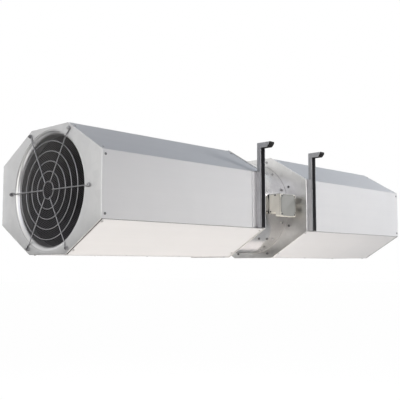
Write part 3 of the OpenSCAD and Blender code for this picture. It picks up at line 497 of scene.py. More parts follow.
def bentLines(points, thick, radius, steps=5):
    # both faces of a folded sheet: its material lies to the left of the outer line
    outer, inner = [], []
    points = [Vector(p) for p in points]
    for i, p in enumerate(points):
        if i in (0, len(points) - 1):
            d = (points[1] - p if i == 0 else p - points[-2]).normalized()
            outer.append(p)
            inner.append(p + Vector((-d.y, d.x)) * thick)
            continue
        a, b = (p - points[i - 1]).normalized(), (points[i + 1] - p).normalized()
        turn = atan2(a.x * b.y - a.y * b.x, a.dot(b))
        way = 1 if turn > 0 else -1
        r = radius if way > 0 else radius - thick
        side = Vector((-a.y, a.x)) * way
        centre = p - a * r * tan(abs(turn) / 2) + side * r
        for k in range(steps + 1):
            v = Matrix.Rotation(turn * k / steps, 2) @ -side
            outer.append(centre + v * r)
            inner.append(centre + v * (r - thick * way))
    return outer, inner


def foldedSheet(points, thick, radius, place, low, high, steps=5):
    # a folded sheet drawn as a line of corners, run from low to high; place turns (u, v, w) into x, y, z
    outer, inner = bentLines(points, thick, radius, steps)
    n = len(outer)
    verts = [place(p.x, p.y, w) for w in (low, high) for p in outer + inner]
    faces = [(0, n, 3 * n, 2 * n), (n - 1, 3 * n - 1, 4 * n - 1, 2 * n - 1)]
    for i in range(n - 1):
        faces += [(i, i + 1, 2 * n + i + 1, 2 * n + i), (n + i, 3 * n + i, 3 * n + i + 1, n + i + 1),
                  (i, n + i, n + i + 1, i + 1), (2 * n + i, 2 * n + i + 1, 3 * n + i + 1, 3 * n + i)]
    return verts, faces


def turnedPart(part, matrix):
    verts, faces = part
    return [tuple(matrix @ Vector(v)) for v in verts], faces


def zipLoops(outer, inner, shift):
    # triangles between two loops of indices that both run round a centre; shift gives each point's angle
    faces, i, j = [], 0, 0
    while i < len(outer) or j < len(inner):
        nextOuter = shift(outer[(i + 1) % len(outer)]) + (2 * pi if i + 1 >= len(outer) else 0)
        nextInner = shift(inner[(j + 1) % len(inner)]) + (2 * pi if j + 1 >= len(inner) else 0)
        if j >= len(inner) or (i < len(outer) and nextOuter <= nextInner):
            faces.append((outer[i], outer[(i + 1) % len(outer)], inner[j % len(inner)]))
            i += 1
        else:
            faces.append((inner[j], outer[i % len(outer)], inner[(j + 1) % len(inner)]))
            j += 1
    return faces


panShape = {"sides": 24, "arm": 0.58, "slot": 0.15, "deep": 0.6, "taper": 0.8, "pitch": 1.6, "root": 0.82,
            "point": ((0.6, 0), (0.8, 0.6)), "thread": (1.0, 1.2),
            "curve": ((0.97, 0), (1, 0.16), (0.99, 0.45), (0.90, 0.78), (0.72, 1))}


def panScrew(s):
    # pan head with a cross recess, seat at z = 0, head up and threaded shank down
    q, height, shank, length = panShape, s["height"], s["shank"], s["length"]
    arm, half = s["head"] * q["arm"], s["head"] * q["slot"]
    turns = max(3, int(length / q["pitch"]))
    start, short = q["thread"]
    profile = [(shank * r, -length + z) for r, z in q["point"]]
    profile += [(shank * (1.0 if k % 2 else q["root"]), -length + start + k * (length - short) / (2 * turns))
                for k in range(2 * turns)]
    profile += [(shank, 0)] + [(s["head"] * r, height * z) for r, z in q["curve"]]
    verts, faces = loftRings([[(x, y, z) for x, y in circle(r, q["sides"])] for r, z in profile], "open")
    faces.insert(0, tuple(range(q["sides"])))
    rim = list(range(len(verts) - q["sides"], len(verts)))
    cross = [(arm, half), (half, half), (half, arm), (-half, arm), (-half, half), (-arm, half), (-arm, -half),
             (-half, -half), (-half, -arm), (half, -arm), (half, -half), (arm, -half)]
    n = len(cross)
    top = [len(verts) + k for k in range(n)]
    verts += [(x, y, height) for x, y in cross]
    verts += [(x * q["taper"], y * q["taper"], height - height * q["deep"]) for x, y in cross]

    def angle(i):
        a = atan2(verts[i][1], verts[i][0])
        return a if a >= -tiny else a + 2 * pi
    faces += zipLoops(rim, top, angle)
    faces += [(top[k], top[k] + n, top[(k + 1) % n] + n, top[(k + 1) % n]) for k in range(n)]
    faces.append(tuple(k + n for k in top))
    return verts, faces


hexShape = {"corner": 1.75, "high": 1.25, "chamfer": 0.86, "low": 0.12, "up": 0.15,
            "steps": 36, "sides": 20, "point": 0.8}


def hexPrism(low, high, corner, chamferLow, chamferHigh):
    q, rings = hexShape, []
    for z, cut in ((low, q["chamfer"] if chamferLow else 1), (low + q["low"] * (high - low), 1),
                   (high - q["up"] * (high - low), 1), (high, q["chamfer"] if chamferHigh else 1)):
        ring = []
        for k in range(q["steps"]):
            a = 2 * pi * k / q["steps"]
            flat = cos(pi / 6) / cos((a % (pi / 3)) - pi / 6)
            ring.append((min(flat, cut) * corner * cos(a), min(flat, cut) * corner * sin(a), z))
        rings.append(ring)
    return loftRings(rings, "capped")


def hexScrew(s):
    # hexagon head with a turned washer face and chamfered crown, seat at z = 0, and a nut below its grip
    r, grip, tip, point = s["shank"], s["grip"], -s["grip"] - s["tail"], hexShape["point"]
    corner = r * hexShape["corner"]
    rings = [[(x, y, z) for x, y in circle(q, hexShape["sides"])]
             for q, z in ((r * point, tip), (r, tip + point), (r, 0))]
    return [hexPrism(0, r * hexShape["high"], corner, False, True), loftRings(rings, "capped"),
            hexPrism(-grip - s["nut"], -grip, corner, True, False)]


def placed(part, place, outward, spin=0.0):
    # stands a part's +Z along outward at a place
    turn = Vector(outward).to_track_quat("Z", "Y").to_matrix().to_4x4()
    return turnedPart(part, Matrix.Translation(Vector(place)) @ turn @ Matrix.Rotation(spin, 4, "Z"))


def cutPiece(piece, cutters):
    for part in cutters:
        mesh = bpy.data.meshes.new("cutter")
        mesh.from_pydata([Vector(v) * mm for v in part[0]], [], part[1])
        solid = bmesh.new()
        solid.from_mesh(mesh)
        bmesh.ops.recalc_face_normals(solid, faces=solid.faces)
        solid.to_mesh(mesh)
        solid.free()
        cutter = bpy.data.objects.new("cutter", mesh)
        scene.collection.objects.link(cutter)
        step = piece.modifiers.new("cut", "BOOLEAN")
        step.object, step.solver = cutter, "EXACT"
        bpy.context.view_layer.update()
        shaped = bpy.data.meshes.new_from_object(piece.evaluated_get(bpy.context.evaluated_depsgraph_get()))
        piece.modifiers.clear()
        old, piece.data = piece.data, shaped
        bpy.data.meshes.remove(old)
        bpy.data.objects.remove(cutter)
        bpy.data.meshes.remove(mesh)
    piece.data.set_sharp_from_angle(angle=radians(meshSettings["sharpFrom"]))


def rod(start, end, radius, sides=32):
    # a plain round cutter between two points
    a, b = Vector(start), Vector(end)
    turn = (b - a).to_track_quat("Z", "Y").to_matrix()
    rings = [[tuple(p + turn @ Vector((x, y, 0))) for x, y in circle(radius, sides)] for p in (a, b)]
    return loftRings(rings, "capped")


casing = {"width": 480, "height": 360, "topFlat": 176, "sideFlat": 180, "fanPlate": 116, "endPlate": 780,
          "sheet": 1.2, "bend": 2.6, "seam": 1.6, "fanGap": 2.1, "plateGap": 1.6, "endGap": 5.5}
slopeRun = (casing["width"] - casing["topFlat"]) / 2
slopeRise = (casing["height"] - casing["sideFlat"]) / 2
slopeLength = sqrt(slopeRun ** 2 + slopeRise ** 2)
slopeY, slopeZ = slopeRise / slopeLength, slopeRun / slopeLength  # outward direction of the slopes
ends = (("inlet", -1), ("outlet", 1))


def octagon(inset=0.0):
    # corners in Y and Z, the inside to the left, from the lower end of the +Y side
    w, h = casing["width"] / 2 - inset, casing["height"] / 2 - inset
    f = casing["topFlat"] / 2 - inset * (1 - slopeZ) / slopeY
    s = casing["sideFlat"] / 2 - inset * (1 - slopeY) / slopeZ
    return [(w, -s), (w, s), (f, h), (-f, h), (-w, s), (-w, -s), (-f, -h), (f, -h)]


def alongX(side):
    return lambda u, v, w: (side * w, u, v)


# lip: the tray's inner flange at the joint; strips: dark strips in the joints and at the tray's end
lipShape = {"gap": 0.05, "up": 14, "down": 13, "bend": 1.4, "steps": 3, "fromFan": 41, "fromEnd": 26}
jointStripShape = {"inset": 0.35, "up": 1.2, "down": 3.6, "thick": 0.3, "bend": 0.6, "steps": 2,
             "start": 1, "stop": 0.5, "overlap": 2.5, "end": 0.1}


def makeShells():
    t, bend = casing["sheet"], casing["bend"]
    q, p = jointStripShape, lipShape
    corners = octagon()
    low, high = casing["fanPlate"] + casing["fanGap"], casing["endPlate"] - casing["plateGap"]
    drop = casing["seam"] * slopeRun / slopeRise
    seamEnd = (casing["width"] / 2 - drop, -casing["sideFlat"] / 2 - casing["seam"])
    trayLine = [(-seamEnd[0], seamEnd[1]), *corners[6:], seamEnd]
    trayEnd = high - casing["endGap"]
    lip = octagon(t + p["gap"])
    stripOutline = octagon(t - q["inset"])

    def cornerLine(sign, corner, up, down):
        # runs from below the side's lower corner up the side, or the other way on the -Y side
        knee = (sign * corner[0], corner[1])
        line = [(knee[0] - sign * down * slopeZ, knee[1] - down * slopeY), knee, (knee[0], knee[1] + up)]
        return line if sign > 0 else line[::-1]
    for name, side in ends:
        place = alongX(side)
        upper = foldedSheet(corners[:6], t, bend, place, low, high)
        addPiece(name + "UpperShell", [upper], "casing_sheet", stands=[name + "_upper_shell"],
                 bevel=sheetEdge)
        tray = [foldedSheet(trayLine, t, bend, place, low, trayEnd)]
        strips = []
        for sign in (-1, 1):
            line = cornerLine(sign, lip[0], p["up"], p["down"])
            start, stop = low + p["fromFan"], high - p["fromEnd"]
            tray.append(foldedSheet(line, t, p["bend"], place, start, stop, p["steps"]))
            line = cornerLine(sign, stripOutline[0], q["up"], q["down"])
            start, stop = low + q["start"], high - q["stop"]
            strips.append(foldedSheet(line, q["thick"], q["bend"], place, start, stop, q["steps"]))
        line = [(-stripOutline[0][0], stripOutline[0][1]), *stripOutline[6:], stripOutline[0]]
        start, stop = trayEnd - q["overlap"], high - q["end"]
        strips.append(foldedSheet(line, q["thick"], q["bend"], place, start, stop, q["steps"]))
        addPiece(name + "LowerTray", tray, "casing_sheet", stands=[name + "_lower_tray"], bevel=sheetEdge)
        addPiece(name + "JointDarkStrip", strips, "black_rubber")


plateShape = {"hole": 170.0, "drumHole": 162.5, "endThick": 1.5, "fanThick": 2.0, "proud": 3.0,
              "endEdge": 1.4, "fanEdge": 1.2, "perSide": 14, "rim": 22, "fanRim": 36,
              "rimThick": 1.5, "chamfer": 0.3, "curve": (0, 15, 30, 45, 60, 75, 90)}


def octagonRing(inset, x, side):
    corners, per = octagon(inset), plateShape["perSide"]
    return [(side * x, a[0] + (b[0] - a[0]) * k / per, a[1] + (b[1] - a[1]) * k / per)
            for a, b in zip(corners, corners[1:] + corners[:1]) for k in range(per)]


def circleRing(radius, x, side, skip=1):
    # points on a circle at the same angles as the octagon's
    turns = [atan2(z, y) for _, y, z in octagonRing(0, x, side)[::skip]]
    return [(side * x, radius * cos(a), radius * sin(a)) for a in turns]


def makePlates():
    s, t = plateShape, casing["sheet"]
    c, inside = s["chamfer"], t + s["rimThick"]
    curve = degrees(*s["curve"])
    for name, side in ends:
        x, e = casing["endPlate"], s["endEdge"]
        back, rim = x - s["endThick"], x - s["endThick"] - s["rim"]
        rings = [circleRing(s["hole"] + c, x, side)]
        rings += [octagonRing(e * (1 - sin(a)), x - e * (1 - cos(a)), side) for a in curve]
        rings += [octagonRing(inset, at, side)
                  for inset, at in ((0, back), (t, back), (t, rim), (inside, rim), (inside, back))]
        rings += [circleRing(s["hole"], back, side), circleRing(s["hole"], x - c, side)]
        addPiece(name + "EndPlate", [loftRings(rings)], "end_sheet", stands=[name + "_end_plate"])
        x, e, out = casing["fanPlate"], s["fanEdge"], s["proud"]
        back, rim = x + s["fanThick"], x + s["fanThick"] + s["fanRim"]
        rings = [circleRing(s["drumHole"] + c, x, side)]
        rings += [octagonRing(e * (1 - sin(a)) - out, x + e * (1 - cos(a)), side) for a in curve]
        rings += [octagonRing(inset, at, side)
                  for inset, at in ((-out, back - c), (c - out, back), (t, back), (t, rim), (inside, rim),
                                    (inside, back))]
        rings += [circleRing(s["drumHole"], back, side), circleRing(s["drumHole"], x + c, side)]
        addPiece(name + "FanPlate", [loftRings(rings)], "galvanised_sheet", stands=[name + "_fan_plate"])


airPath = {"radius": 157.5, "lip": 12.5, "thick": 1.2, "tail": 25, "flange": 6, "plate": 1.5,
           "lipSteps": 12, "steps": 144}


def makeNozzles():
    s = airPath
    r, lip, thick = s["radius"], s["lip"], s["thick"]
    outer, inner, mid = r + lip, lip - thick, casing["endPlate"] - s["plate"] - lip
    arc = degrees(*[90 * k / s["lipSteps"] for k in range(s["lipSteps"] + 1)])
    profile = [(r + thick, mid - s["tail"]), (r, mid - s["tail"])]
    profile += [(outer - lip * cos(a), mid + lip * sin(a)) for a in arc]
    profile += [(outer + s["flange"], mid + lip), (outer + s["flange"], mid + inner)]
    profile += [(outer - inner * sin(a), mid + inner * cos(a)) for a in arc]
    for name, side in ends:
        turned = lathe(profile, s["steps"], side)
        addPiece(name + "Nozzle", [turned], "spun_sheet", stands=[name + "_nozzle"])


woolShape = {"start": 133.5, "stop": 763, "gap": 3.4, "inner": 160.6, "steps": 26, "sag": 1.2, "lumps": 0.02}


def makeWool():
    # fibrous packing between liner and casing, uneven where it is not pressed flat
    s = woolShape
    for name, side in ends:
        rings = []
        for k in range(s["steps"] + 1):
            x = s["start"] + (s["stop"] - s["start"]) * k / s["steps"]
            ring = []
            for _, y, z in octagonRing(s["gap"], x, side)[::2]:
                sag = s["sag"] * (0.5 + 0.5 * noise.noise(Vector((x, y, z)) * s["lumps"]))
                shrink = 1 - sag / (casing["width"] / 2)
                ring.append((side * x, y * shrink, z * shrink))
            rings.append(ring)
        rings += [circleRing(s["inner"], x, side, 2) for x in (s["stop"], s["start"])]
        addPiece(name + "Wool", [loftRings(rings)], "mineral_wool", stands=[name + "_wool"])


makeShells()
makePlates()
makeNozzles()
makeWool()
print("casing ready")

guardShape = {"wire": 1.6, "ringWire": 1.35, "rings": [25, 53.25, 81.5, 109.75, 138], "ringX": 778.77,
              "spokeX": 781.62, "spokes": 6, "start": 21.8, "bends": (60, 100, 140, 165), "swing": (170, 11),
              "swingSteps": (0.1, 0.25, 0.4, 0.55, 0.7, 0.85), "foot": 188, "eye": 4.5,
              "eyeTurn": (205, 19, 15),  # the eye's first angle, its step and its number of points
              "leastSteps": 36, "sharp": 60}
nuggetShape = {"sides": 10, "across": 1.15,
               "curve": ((-1.15, 0.45), (-0.8, 1.35), (0, 1.75), (0.8, 1.35), (1.15, 0.45))}


def makeSpoke(side, out, across):
    s = guardShape

    def spot(r, shift=0):
        return Vector((side * s["spokeX"], 0, 0)) + out * r + across * shift
    path = [spot(s["start"] + s["wire"])] + [spot(r) for r in s["bends"]]
    first, run = s["swing"]
    path += [spot(first + run * t, -s["eye"] * t * t * (3 - 2 * t)) for t in s["swingSteps"]]
    begin, step, count = s["eyeTurn"]
    for k in range(count):  # the wire's end is rolled into an open eye
        turn = radians(begin - step * k)
        path.append(spot(s["foot"] + s["eye"] * sin(turn), s["eye"] * cos(turn)))
    return tube(path, s["wire"])


def makeNugget(side, out, across, radius):
    # weld where a ring and a spoke cross
    s, q = guardShape, nuggetShape
    centre = Vector((side * (s["ringX"] + s["spokeX"]) / 2, 0, 0)) + out * radius
    rings = [[tuple(centre + Vector((side * u, 0, 0)) + (out * c * q["across"] + across * d) * w)
              for c, d in circle(1, q["sides"])] for u, w in q["curve"]]
    return loftRings(rings, "capped")


def makeGuards():
    s = guardShape
    for name, side in ends:
        parts = []
        for radius in s["rings"]:
            path = [(side * s["ringX"], y, z) for y, z in circle(radius, max(s["leastSteps"], int(radius)))]
            parts.append(tube(path, s["ringWire"], closed=True))
        for k in range(s["spokes"]):
            a = k * 2 * pi / s["spokes"]
            out, across = Vector((0, -cos(a), sin(a))), Vector((0, sin(a), cos(a)))
            parts.append(makeSpoke(side, out, across))
            parts += [makeNugget(side, out, across, radius) for radius in s["rings"]]
        addPiece(name + "Guard", parts, "guard_wire", stands=[name + "_guard"], sharp=s["sharp"])


makeGuards()
print("guards ready")

drumShape = {"half": 116.0, "outer": 165.0, "inner": 162.5, "chamfer": 0.3, "bands": 12, "bead": 1.1,
             "steps": 160, "seamTurn": 168, "seamStep": 0.0065, "seamHigh": 0.35, "seamPoints": 9,
             "beadCurve": (0, 22, 45, 68, 90), "beadSink": 0.2, "beadLap": 0.05}


def makeDrum():
    s = drumShape
    h, r, c = s["half"], s["outer"], s["chamfer"]
    profile = [(s["inner"], -h), (r - c, -h), (r, -h + c)]
    profile += [(r, -h + 2 * h * k / s["bands"]) for k in range(1, s["bands"])]
    profile += [(r, h - c), (r - c, h), (s["inner"], h)]
    seam, n = [], s["seamPoints"]  # flat ground weld along the drum
    for x in (-h, h):
        for k in range(n):
            a = radians(s["seamTurn"]) + (k - n // 2) * s["seamStep"]
            lift = s["seamHigh"] * cos((k - n // 2) * pi / (n - 1))
            seam.append((x, -(r - slack + lift) * cos(a), (r - slack + lift) * sin(a)))
    faces = [(k, k + 1, n + k + 1, n + k) for k in range(n - 1)]
    faces += [tuple(range(n)), tuple(range(n, 2 * n)), (0, n - 1, 2 * n - 1, n)]
    addPiece("drumShell", [lathe(profile, s["steps"]), (seam, faces)], "drum_sheet", stands=["drum"])
    b = s["bead"]  # sealing bead in the corner between drum and plate
    inside, lap = r - s["beadSink"], h + s["beadLap"]
    profile = [(inside, lap), (r + b, lap)]
    profile += [(r + b * (1 - sin(a)), h - b * (1 - cos(a))) for a in degrees(*s["beadCurve"])]
    profile.append((inside, h - b))
    for name, side in ends:
        addPiece(name + "DrumBead", [lathe(profile, s["steps"], side)], "sealant")


# root and tip values in pairs; stub: the blade's foot in the hub, as (radius, height)
bladeShape = {"span": (56.5, 160), "chord": (56, 48), "thick": (8, 4), "pitch": (46, 25), "x": -55,
              "sides": 36, "steps": 20, "tipTrim": (0.10, 0.07), "rootTrim": (0.12, 0.08),
              "blunt": 0.55, "count": 6, "firstTurn": 90, "sharp": 45, "stubSides": 32,
              "stub": ((5, 44.8), (11, 44.8), (11, 49.6), (8, 49.7), (8, 54.6), (7.6, 55), (4.4, 55.3),
                       (3.6, 56.2), (3.6, 59.5))}


def bladeRing(t):
    # the blade's section at a share t of its span, with its corners rounded at root and tip
    s = bladeShape

    def between(pair, share=t):
        return pair[0] + (pair[1] - pair[0]) * share
    r, c, h = between(s["span"]), between(s["chord"]) / 2, between(s["thick"]) / 2
    p = radians(between(s["pitch"], sqrt(t)))
    tip, tipZone = s["tipTrim"]
    root, rootZone = s["rootTrim"]
    blunt = s["blunt"]
    trim = 1 - tip * max(0, (t - 1 + tipZone) / tipZone) ** 2 - root * max(0, (rootZone - t) / rootZone) ** 2
    ring = []
    for j in range(s["sides"]):
        a = 2 * pi * j / s["sides"]
        u, v = c * trim * cos(a), h * sin(a) * (blunt + (1 - blunt) * abs(sin(a)))
        y = u * cos(p) - v * sin(p)
        ring.append((s["x"] + u * sin(p) + v * cos(p), y, r + (sqrt(r * r - y * y) - r) * t))
    return ring


def makeBlades():
    s = bladeShape
    stub = [[(s["x"] + x, y, z) for x, y in circle(q, s["stubSides"])] for q, z in s["stub"]]
    blade = loftRings([bladeRing(i / s["steps"]) for i in range(s["steps"] + 1)], "capped")
    for k in range(s["count"]):
        turn = Matrix.Rotation(radians(s["firstTurn"] - 360 / s["count"] * k), 4, "X")
        parts = [turnedPart(part, turn) for part in (blade, loftRings(stub, "capped"))]
        node = "blade_" + str(k + 1)
        addPiece("blade" + str(k + 1), parts, "impeller_alloy", body="rotor", stands=[node], sharp=s["sharp"])


makeDrum()
makeBlades()
print("fan section ready")

legShape = {"x": 143, "half": 12, "back": 241.5, "depth": 16, "wall": 2, "foot": -90, "top": 184,
            "armDepth": 17, "reach": 293, "bend": 3.0, "corner": 2.2, "cornerDepth": 3, "straight": 60,
            "armSolid": 14, "cornerSteps": (0, 0.25, 0.5, 0.75, 1), "edge": (0.3, 1),
            "slant": (9.5, 6, 11, 1.3),  # most, start, run and power of the arm's slanted end
            "hole": 5.5, "holeY": 270, "holeCut": (6, 4), "skin": 1}
capShape = {"shadePlug": 12, "roof": 2.1, "gap": 0.4, "thick": 1.4, "back": 0.05, "topDrops": (0.2, 3),
            "drops": (6, 8, 10, 12, 14), "edge": (0.4, 2)}
railShape = {"low": 118.3, "high": 178, "base": 1.5, "wall": 1.6, "tall": 15, "half": 14, "face": 240,
             "end": 90, "fillet": 1.6, "innerFillet": 0.3}


def armTip(drop, out=0):
    # Y and Z on the arm's slanted end, at a drop below its top
    most, start, run, power = legShape["slant"]
    slope = most * max(0, (drop - start) / run) ** power
    return legShape["reach"] + out - slope, legShape["top"] - drop


def legRings(side, flank):
    s = legShape
    outline = [(-s["half"], s["depth"]), (-s["half"], 0), (s["half"], 0), (s["half"], s["depth"])]
    outer, inner = bentLines(outline, s["wall"], s["bend"])
    grow, back, top = s["armDepth"] / s["depth"], s["back"], s["top"]

    def corner(a):  # the web turns a tight corner, the flanges are mitred
        def spot(d):
            near = max(0, 1 - d / s["cornerDepth"])
            return (back + d + s["corner"] * (1 - cos(a * pi / 2)) * near,
                    top - d * grow - s["corner"] * (1 - sin(a * pi / 2)) * near)
        return spot
    stations = [lambda d: (back + d, s["foot"]), lambda d: (back + d, top - s["straight"])]
    stations += [corner(a) for a in s["cornerSteps"]]
    stations += [lambda d: (s["reach"] - s["armSolid"], top - d * grow), lambda d: armTip(d * grow)]
    rings = [[(side * (s["x"] + p.x), flank * spot(p.y)[0], spot(p.y)[1]) for p in outer + inner[::-1]]
             for spot in stations]
    return rings, len(outer)


def makeLeg(name, side, flank):
    s = legShape
    rings, count = legRings(side, flank)
    verts, faces = loftRings(rings, "open")
    n = len(rings[0])
    for base in (0, len(verts) - n):
        faces += [(base + i, base + i + 1, base + n - 2 - i, base + n - 1 - i) for i in range(count - 1)]
    leg = addPiece(name + "_dressed", [(verts, faces)], "hanger_steel", stands=[name], bevel=s["edge"])
    x, y = side * s["x"], flank * s["holeY"]
    under, over = s["holeCut"]
    cutPiece(leg, [rod((x, y, s["top"] - under), (x, y, s["top"] + over), s["hole"])])
    leg.data.materials.append(materials["hanger_inside_painted_shade"])
    for face in leg.data.polygons:  # the channel's inside gets a near-black finish, painted shade of the open channel
        x, y, z = (v / mm for v in face.center)
        within = abs(abs(x) - s["x"]) < s["half"] - s["wall"] + slack
        if within and abs(y) > s["back"] + s["skin"] and z < s["top"] - s["skin"]:
            face.material_index = 1


def makeCap(name, side, flank):
    # cap on the arm's slanted end, with a plug behind it in the open channel; both are near black, painted
    # shade of the channel's open end
    s, q = legShape, capShape
    low, inside = s["armDepth"] - q["gap"], s["reach"] - q["shadePlug"]
    shadePlug = [armTip(drop, slack) for drop in (q["roof"], *q["drops"], low)]
    shadePlug = [(inside, s["top"] - q["roof"])] + shadePlug + [(inside, s["top"] - low)]
    drops = (*q["topDrops"], *q["drops"], s["armDepth"] - slack)
    cap = [armTip(drop, q["thick"]) for drop in drops] + [armTip(drop, q["back"]) for drop in drops[::-1]]
    parts = []
    for outline, wide in ((shadePlug, s["half"] - s["wall"]), (cap, s["half"] - slack)):
        rings = [[(side * (s["x"] + x), flank * y, z) for y, z in outline] for x in (-wide, wide)]
        parts.append(loftRings(rings, "capped"))
    addPiece(name + "_shade_plug", parts, "black_cap", bevel=q["edge"])


def makeRail(name, side, flank):
    s = railShape
    curve = [(1 - sin(a), 1 - cos(a)) for a in degrees(*quarter)]  # weld fillet between wall and base
    outline = [(s["low"], 0), (s["high"], 0), (s["high"], s["base"])]
    for wall in (1, -1):
        both = [legShape["x"] + wall * s["half"], legShape["x"] + wall * (s["half"] - s["wall"])]
        right, left = max(both), min(both)
        r = s["fillet"]
        outline += [(right + r * q, s["base"] + r * p) for q, p in reversed(curve)]
        outline += [(right, s["tall"]), (left, s["tall"])]
        r = s["innerFillet"] if wall > 0 else r
        outline += [(left - r * q, s["base"] + r * p) for q, p in curve]
    outline.append((s["low"], s["base"]))
    rings = [[(side * x, flank * (s["face"] + y), z) for x, y in outline] for z in (-s["end"], s["end"])]
    rail = [loftRings(rings, "capped")]
    addPiece(name + "_dressed", rail, "rail_sheet", stands=[name], bevel=sheetEdge)


hangers = [(name + "_" + place, side, flank)
           for name, side in ends for place, flank in (("near", -1), ("far", 1))]
for name, side, flank in hangers:
    makeLeg("leg_" + name, side, flank)
    makeCap("leg_" + name, side, flank)
for name, side, flank in hangers:
    makeRail("rail_" + name, side, flank)
print("hangers ready")

screwKinds = {
    "panel": {"head": 3.6, "height": 1.8, "shank": 1.9, "length": 6.7},
    "bottom": {"head": 3.0, "height": 1.0, "shank": 1.5, "length": 3.5},
    "plate": {"head": 4.5, "height": 2.75, "shank": 2.5, "length": 15.5},
    "drum": {"head": 4.5, "height": 2.75, "shank": 2.5, "length": 7.0},
    "support": {"head": 4.5, "height": 2.75, "shank": 2.5, "length": 12},
    "guard": {"head": 4.6, "height": 3.0, "shank": 2.4, "length": 10.0},
    "lid": {"head": 3.4, "height": 1.5, "shank": 1.8, "length": 13.0},
    "boxSide": {"head": 3.06, "height": 1.5, "shank": 1.8, "length": 5.5},
}
hangerBolt = {"shank": 4.0, "grip": 6.2, "tail": 9.6, "nut": 6.4}
screws = {kind: panScrew(shape) for kind, shape in screwKinds.items()}
spins = [0.3, 1.1, 0.7, 1.4, 0.1, 0.9]  # turns of the screws' recesses, in radians
screwSharp = 30
screwPlaces = {
    "panelX": (128.0, 768.5), "panelIn": 13, "slopeIn": 24, "bottomX": (340, 556), "bottomY": 75,
    "bottomSpin": 0.4, "plateCount": 8, "plateRing": 181, "plateFace": 116, "paintedLitAbove": 130,
    "paintedLitFirst": 2,
    "drumX": 87, "drumTurn": 20.5, "supportX": (9, 54), "supports": (45, 135, 225, 315),
    "guardRing": 188, "guardFace": 783.3, "hangerX": 143, "hangerFace": 243.5, "hangerZ": 50,
    "hangerSpin": 0.2,
    "lidX": (13, 85), "lidZ": (-35, 28), "lidFace": 213.9, "boxFace": 6, "boxAt": ((-191, 30), (-171, -26)),
    "boxSpin": 0.5,
}


def radial(angle, radius=1, x=0):
    a = radians(angle)
    return Vector((0, -cos(a), sin(a))) * radius + Vector((x, 0, 0))


def addScrews(name, node, parts, paintedLit=(), finish=("zinc_fasteners", "zinc_painted_highlight")):
    # the screws counted in the fourth argument get the second finish, a lighter copy of the zinc that paints
    # their highlight
    addPiece(name, parts, finish, stands=[node], sharp=screwSharp, second=paintedLit)


def panelPlaces():
    # for each screw of one silencer's panels: X, its place in Y and Z, the panel's direction, whether it gets
    # the painted highlight
    q, corners = screwPlaces, octagon()
    for x in q["panelX"]:
        for a, b in zip(corners, corners[1:] + corners[:1]):
            a, b = Vector(a), Vector(b)
            u = (b - a).normalized()
            upright = abs(u.x) < tiny
            if upright and x == q["panelX"][0]:
                continue  # the rails hold the upright sides there
            slope = min(abs(u.x), abs(u.y)) > tiny
            high = casing["sideFlat"] / 2 + slack
            inset = [q["slopeIn"] if slope and abs(c.y) > high else q["panelIn"] for c in (a, b)]
            for p in (a + u * inset[0], b - u * inset[1]):
                yield x, p, u, not upright


def makePanelScrews():
    q, count = screwPlaces, 0
    for name, side in ends:
        parts, paintedLit = [], []
        for x, p, u, paintedLitHere in panelPlaces():
            count += 1
            # screws off the upright sides get the painted highlight
            if paintedLitHere:
                paintedLit.append(len(parts))
            spin = spins[count % len(spins)]
            parts.append(placed(screws["panel"], (side * x, p.x, p.y), (0, u.y, -u.x), spin))
        for x in q["bottomX"]:  # faint fixings along the edges of the bottom, all with the painted highlight
            for y in (-q["bottomY"], q["bottomY"]):
                paintedLit.append(len(parts))
                at = (side * x, y, -casing["height"] / 2)
                parts.append(placed(screws["bottom"], at, (0, 0, -1), q["bottomSpin"]))
        addScrews(name + "PanelScrews", name + "_panel_screws", parts, paintedLit)


def makeFanScrews():
    q = screwPlaces
    parts, paintedLit = [], []
    for _, side in ends:
        for k in range(q["plateCount"]):
            at = radial(360 / q["plateCount"] * (k + 0.5), q["plateRing"], side * q["plateFace"])
            # the upper plate screws get the painted highlight
            if at.z > q["paintedLitAbove"]:
                paintedLit.append(len(parts))
            parts.append(placed(screws["plate"], at, (-side, 0, 0), spins[k % len(spins)]))
    addScrews("plateScrews", "plate_screws", parts, paintedLit)

    def onDrum(kind, angle, x, spin):
        return placed(screws[kind], radial(angle, drumShape["outer"], x), radial(angle), spin)
    parts = []
    for _, side in ends:
        for k in range(4):
            for turn in (-q["drumTurn"], q["drumTurn"]):
                parts.append(onDrum("drum", 90 * k + turn, side * q["drumX"], spins[k]))
    parts += [onDrum("drum", angle, q["drumX"], spins[k]) for k, angle in enumerate(q["supports"])]
    # the drum screws and the first supports' screws get the painted highlight
    paintedLit = list(range(len(parts)))
    for k, angle in enumerate(q["supports"]):
        for x in q["supportX"]:
            if k < q["paintedLitFirst"]:
                paintedLit.append(len(parts))
            parts.append(onDrum("support", angle, x, spins[k + 1]))
    addScrews("drumScrews", "drum_screws", parts, paintedLit)


def makeOtherScrews():
    q = screwPlaces
    parts, paintedLit = [], []
    for _, side in ends:
        for k in range(guardShape["spokes"]):
            # the first guard screws get the painted highlight
            if k < q["paintedLitFirst"]:
                paintedLit.append(len(parts))
            at = radial(360 / guardShape["spokes"] * k, q["guardRing"], side * q["guardFace"])
            parts.append(placed(screws["guard"], at, (side, 0, 0), spins[k]))
    addScrews("guardScrews", "guard_screws", parts, paintedLit)
    parts = []
    for _, side in ends:
        for flank in (-1, 1):
            for z in (-q["hangerZ"], q["hangerZ"]):
                at = (side * q["hangerX"], flank * q["hangerFace"], z)
                parts += [placed(part, at, (0, flank, 0), q["hangerSpin"]) for part in hexScrew(hangerBolt)]
    addScrews("hangerBolts", "hanger_bolts", parts, finish="dark_fasteners")
    parts = [placed(screws["lid"], (x, -q["lidFace"], z), (0, -1, 0), spins[(x + z) % len(spins)])
             for x in q["lidX"] for z in q["lidZ"]]
    for y, z in q["boxAt"]:
        parts.append(placed(screws["boxSide"], (q["boxFace"], y, z), (-1, 0, 0), q["boxSpin"]))
    addScrews("boxScrews", "box_screws", parts, finish="dark_fasteners")


makePanelScrews()
makeFanScrews()
makeOtherScrews()
print("screws ready")

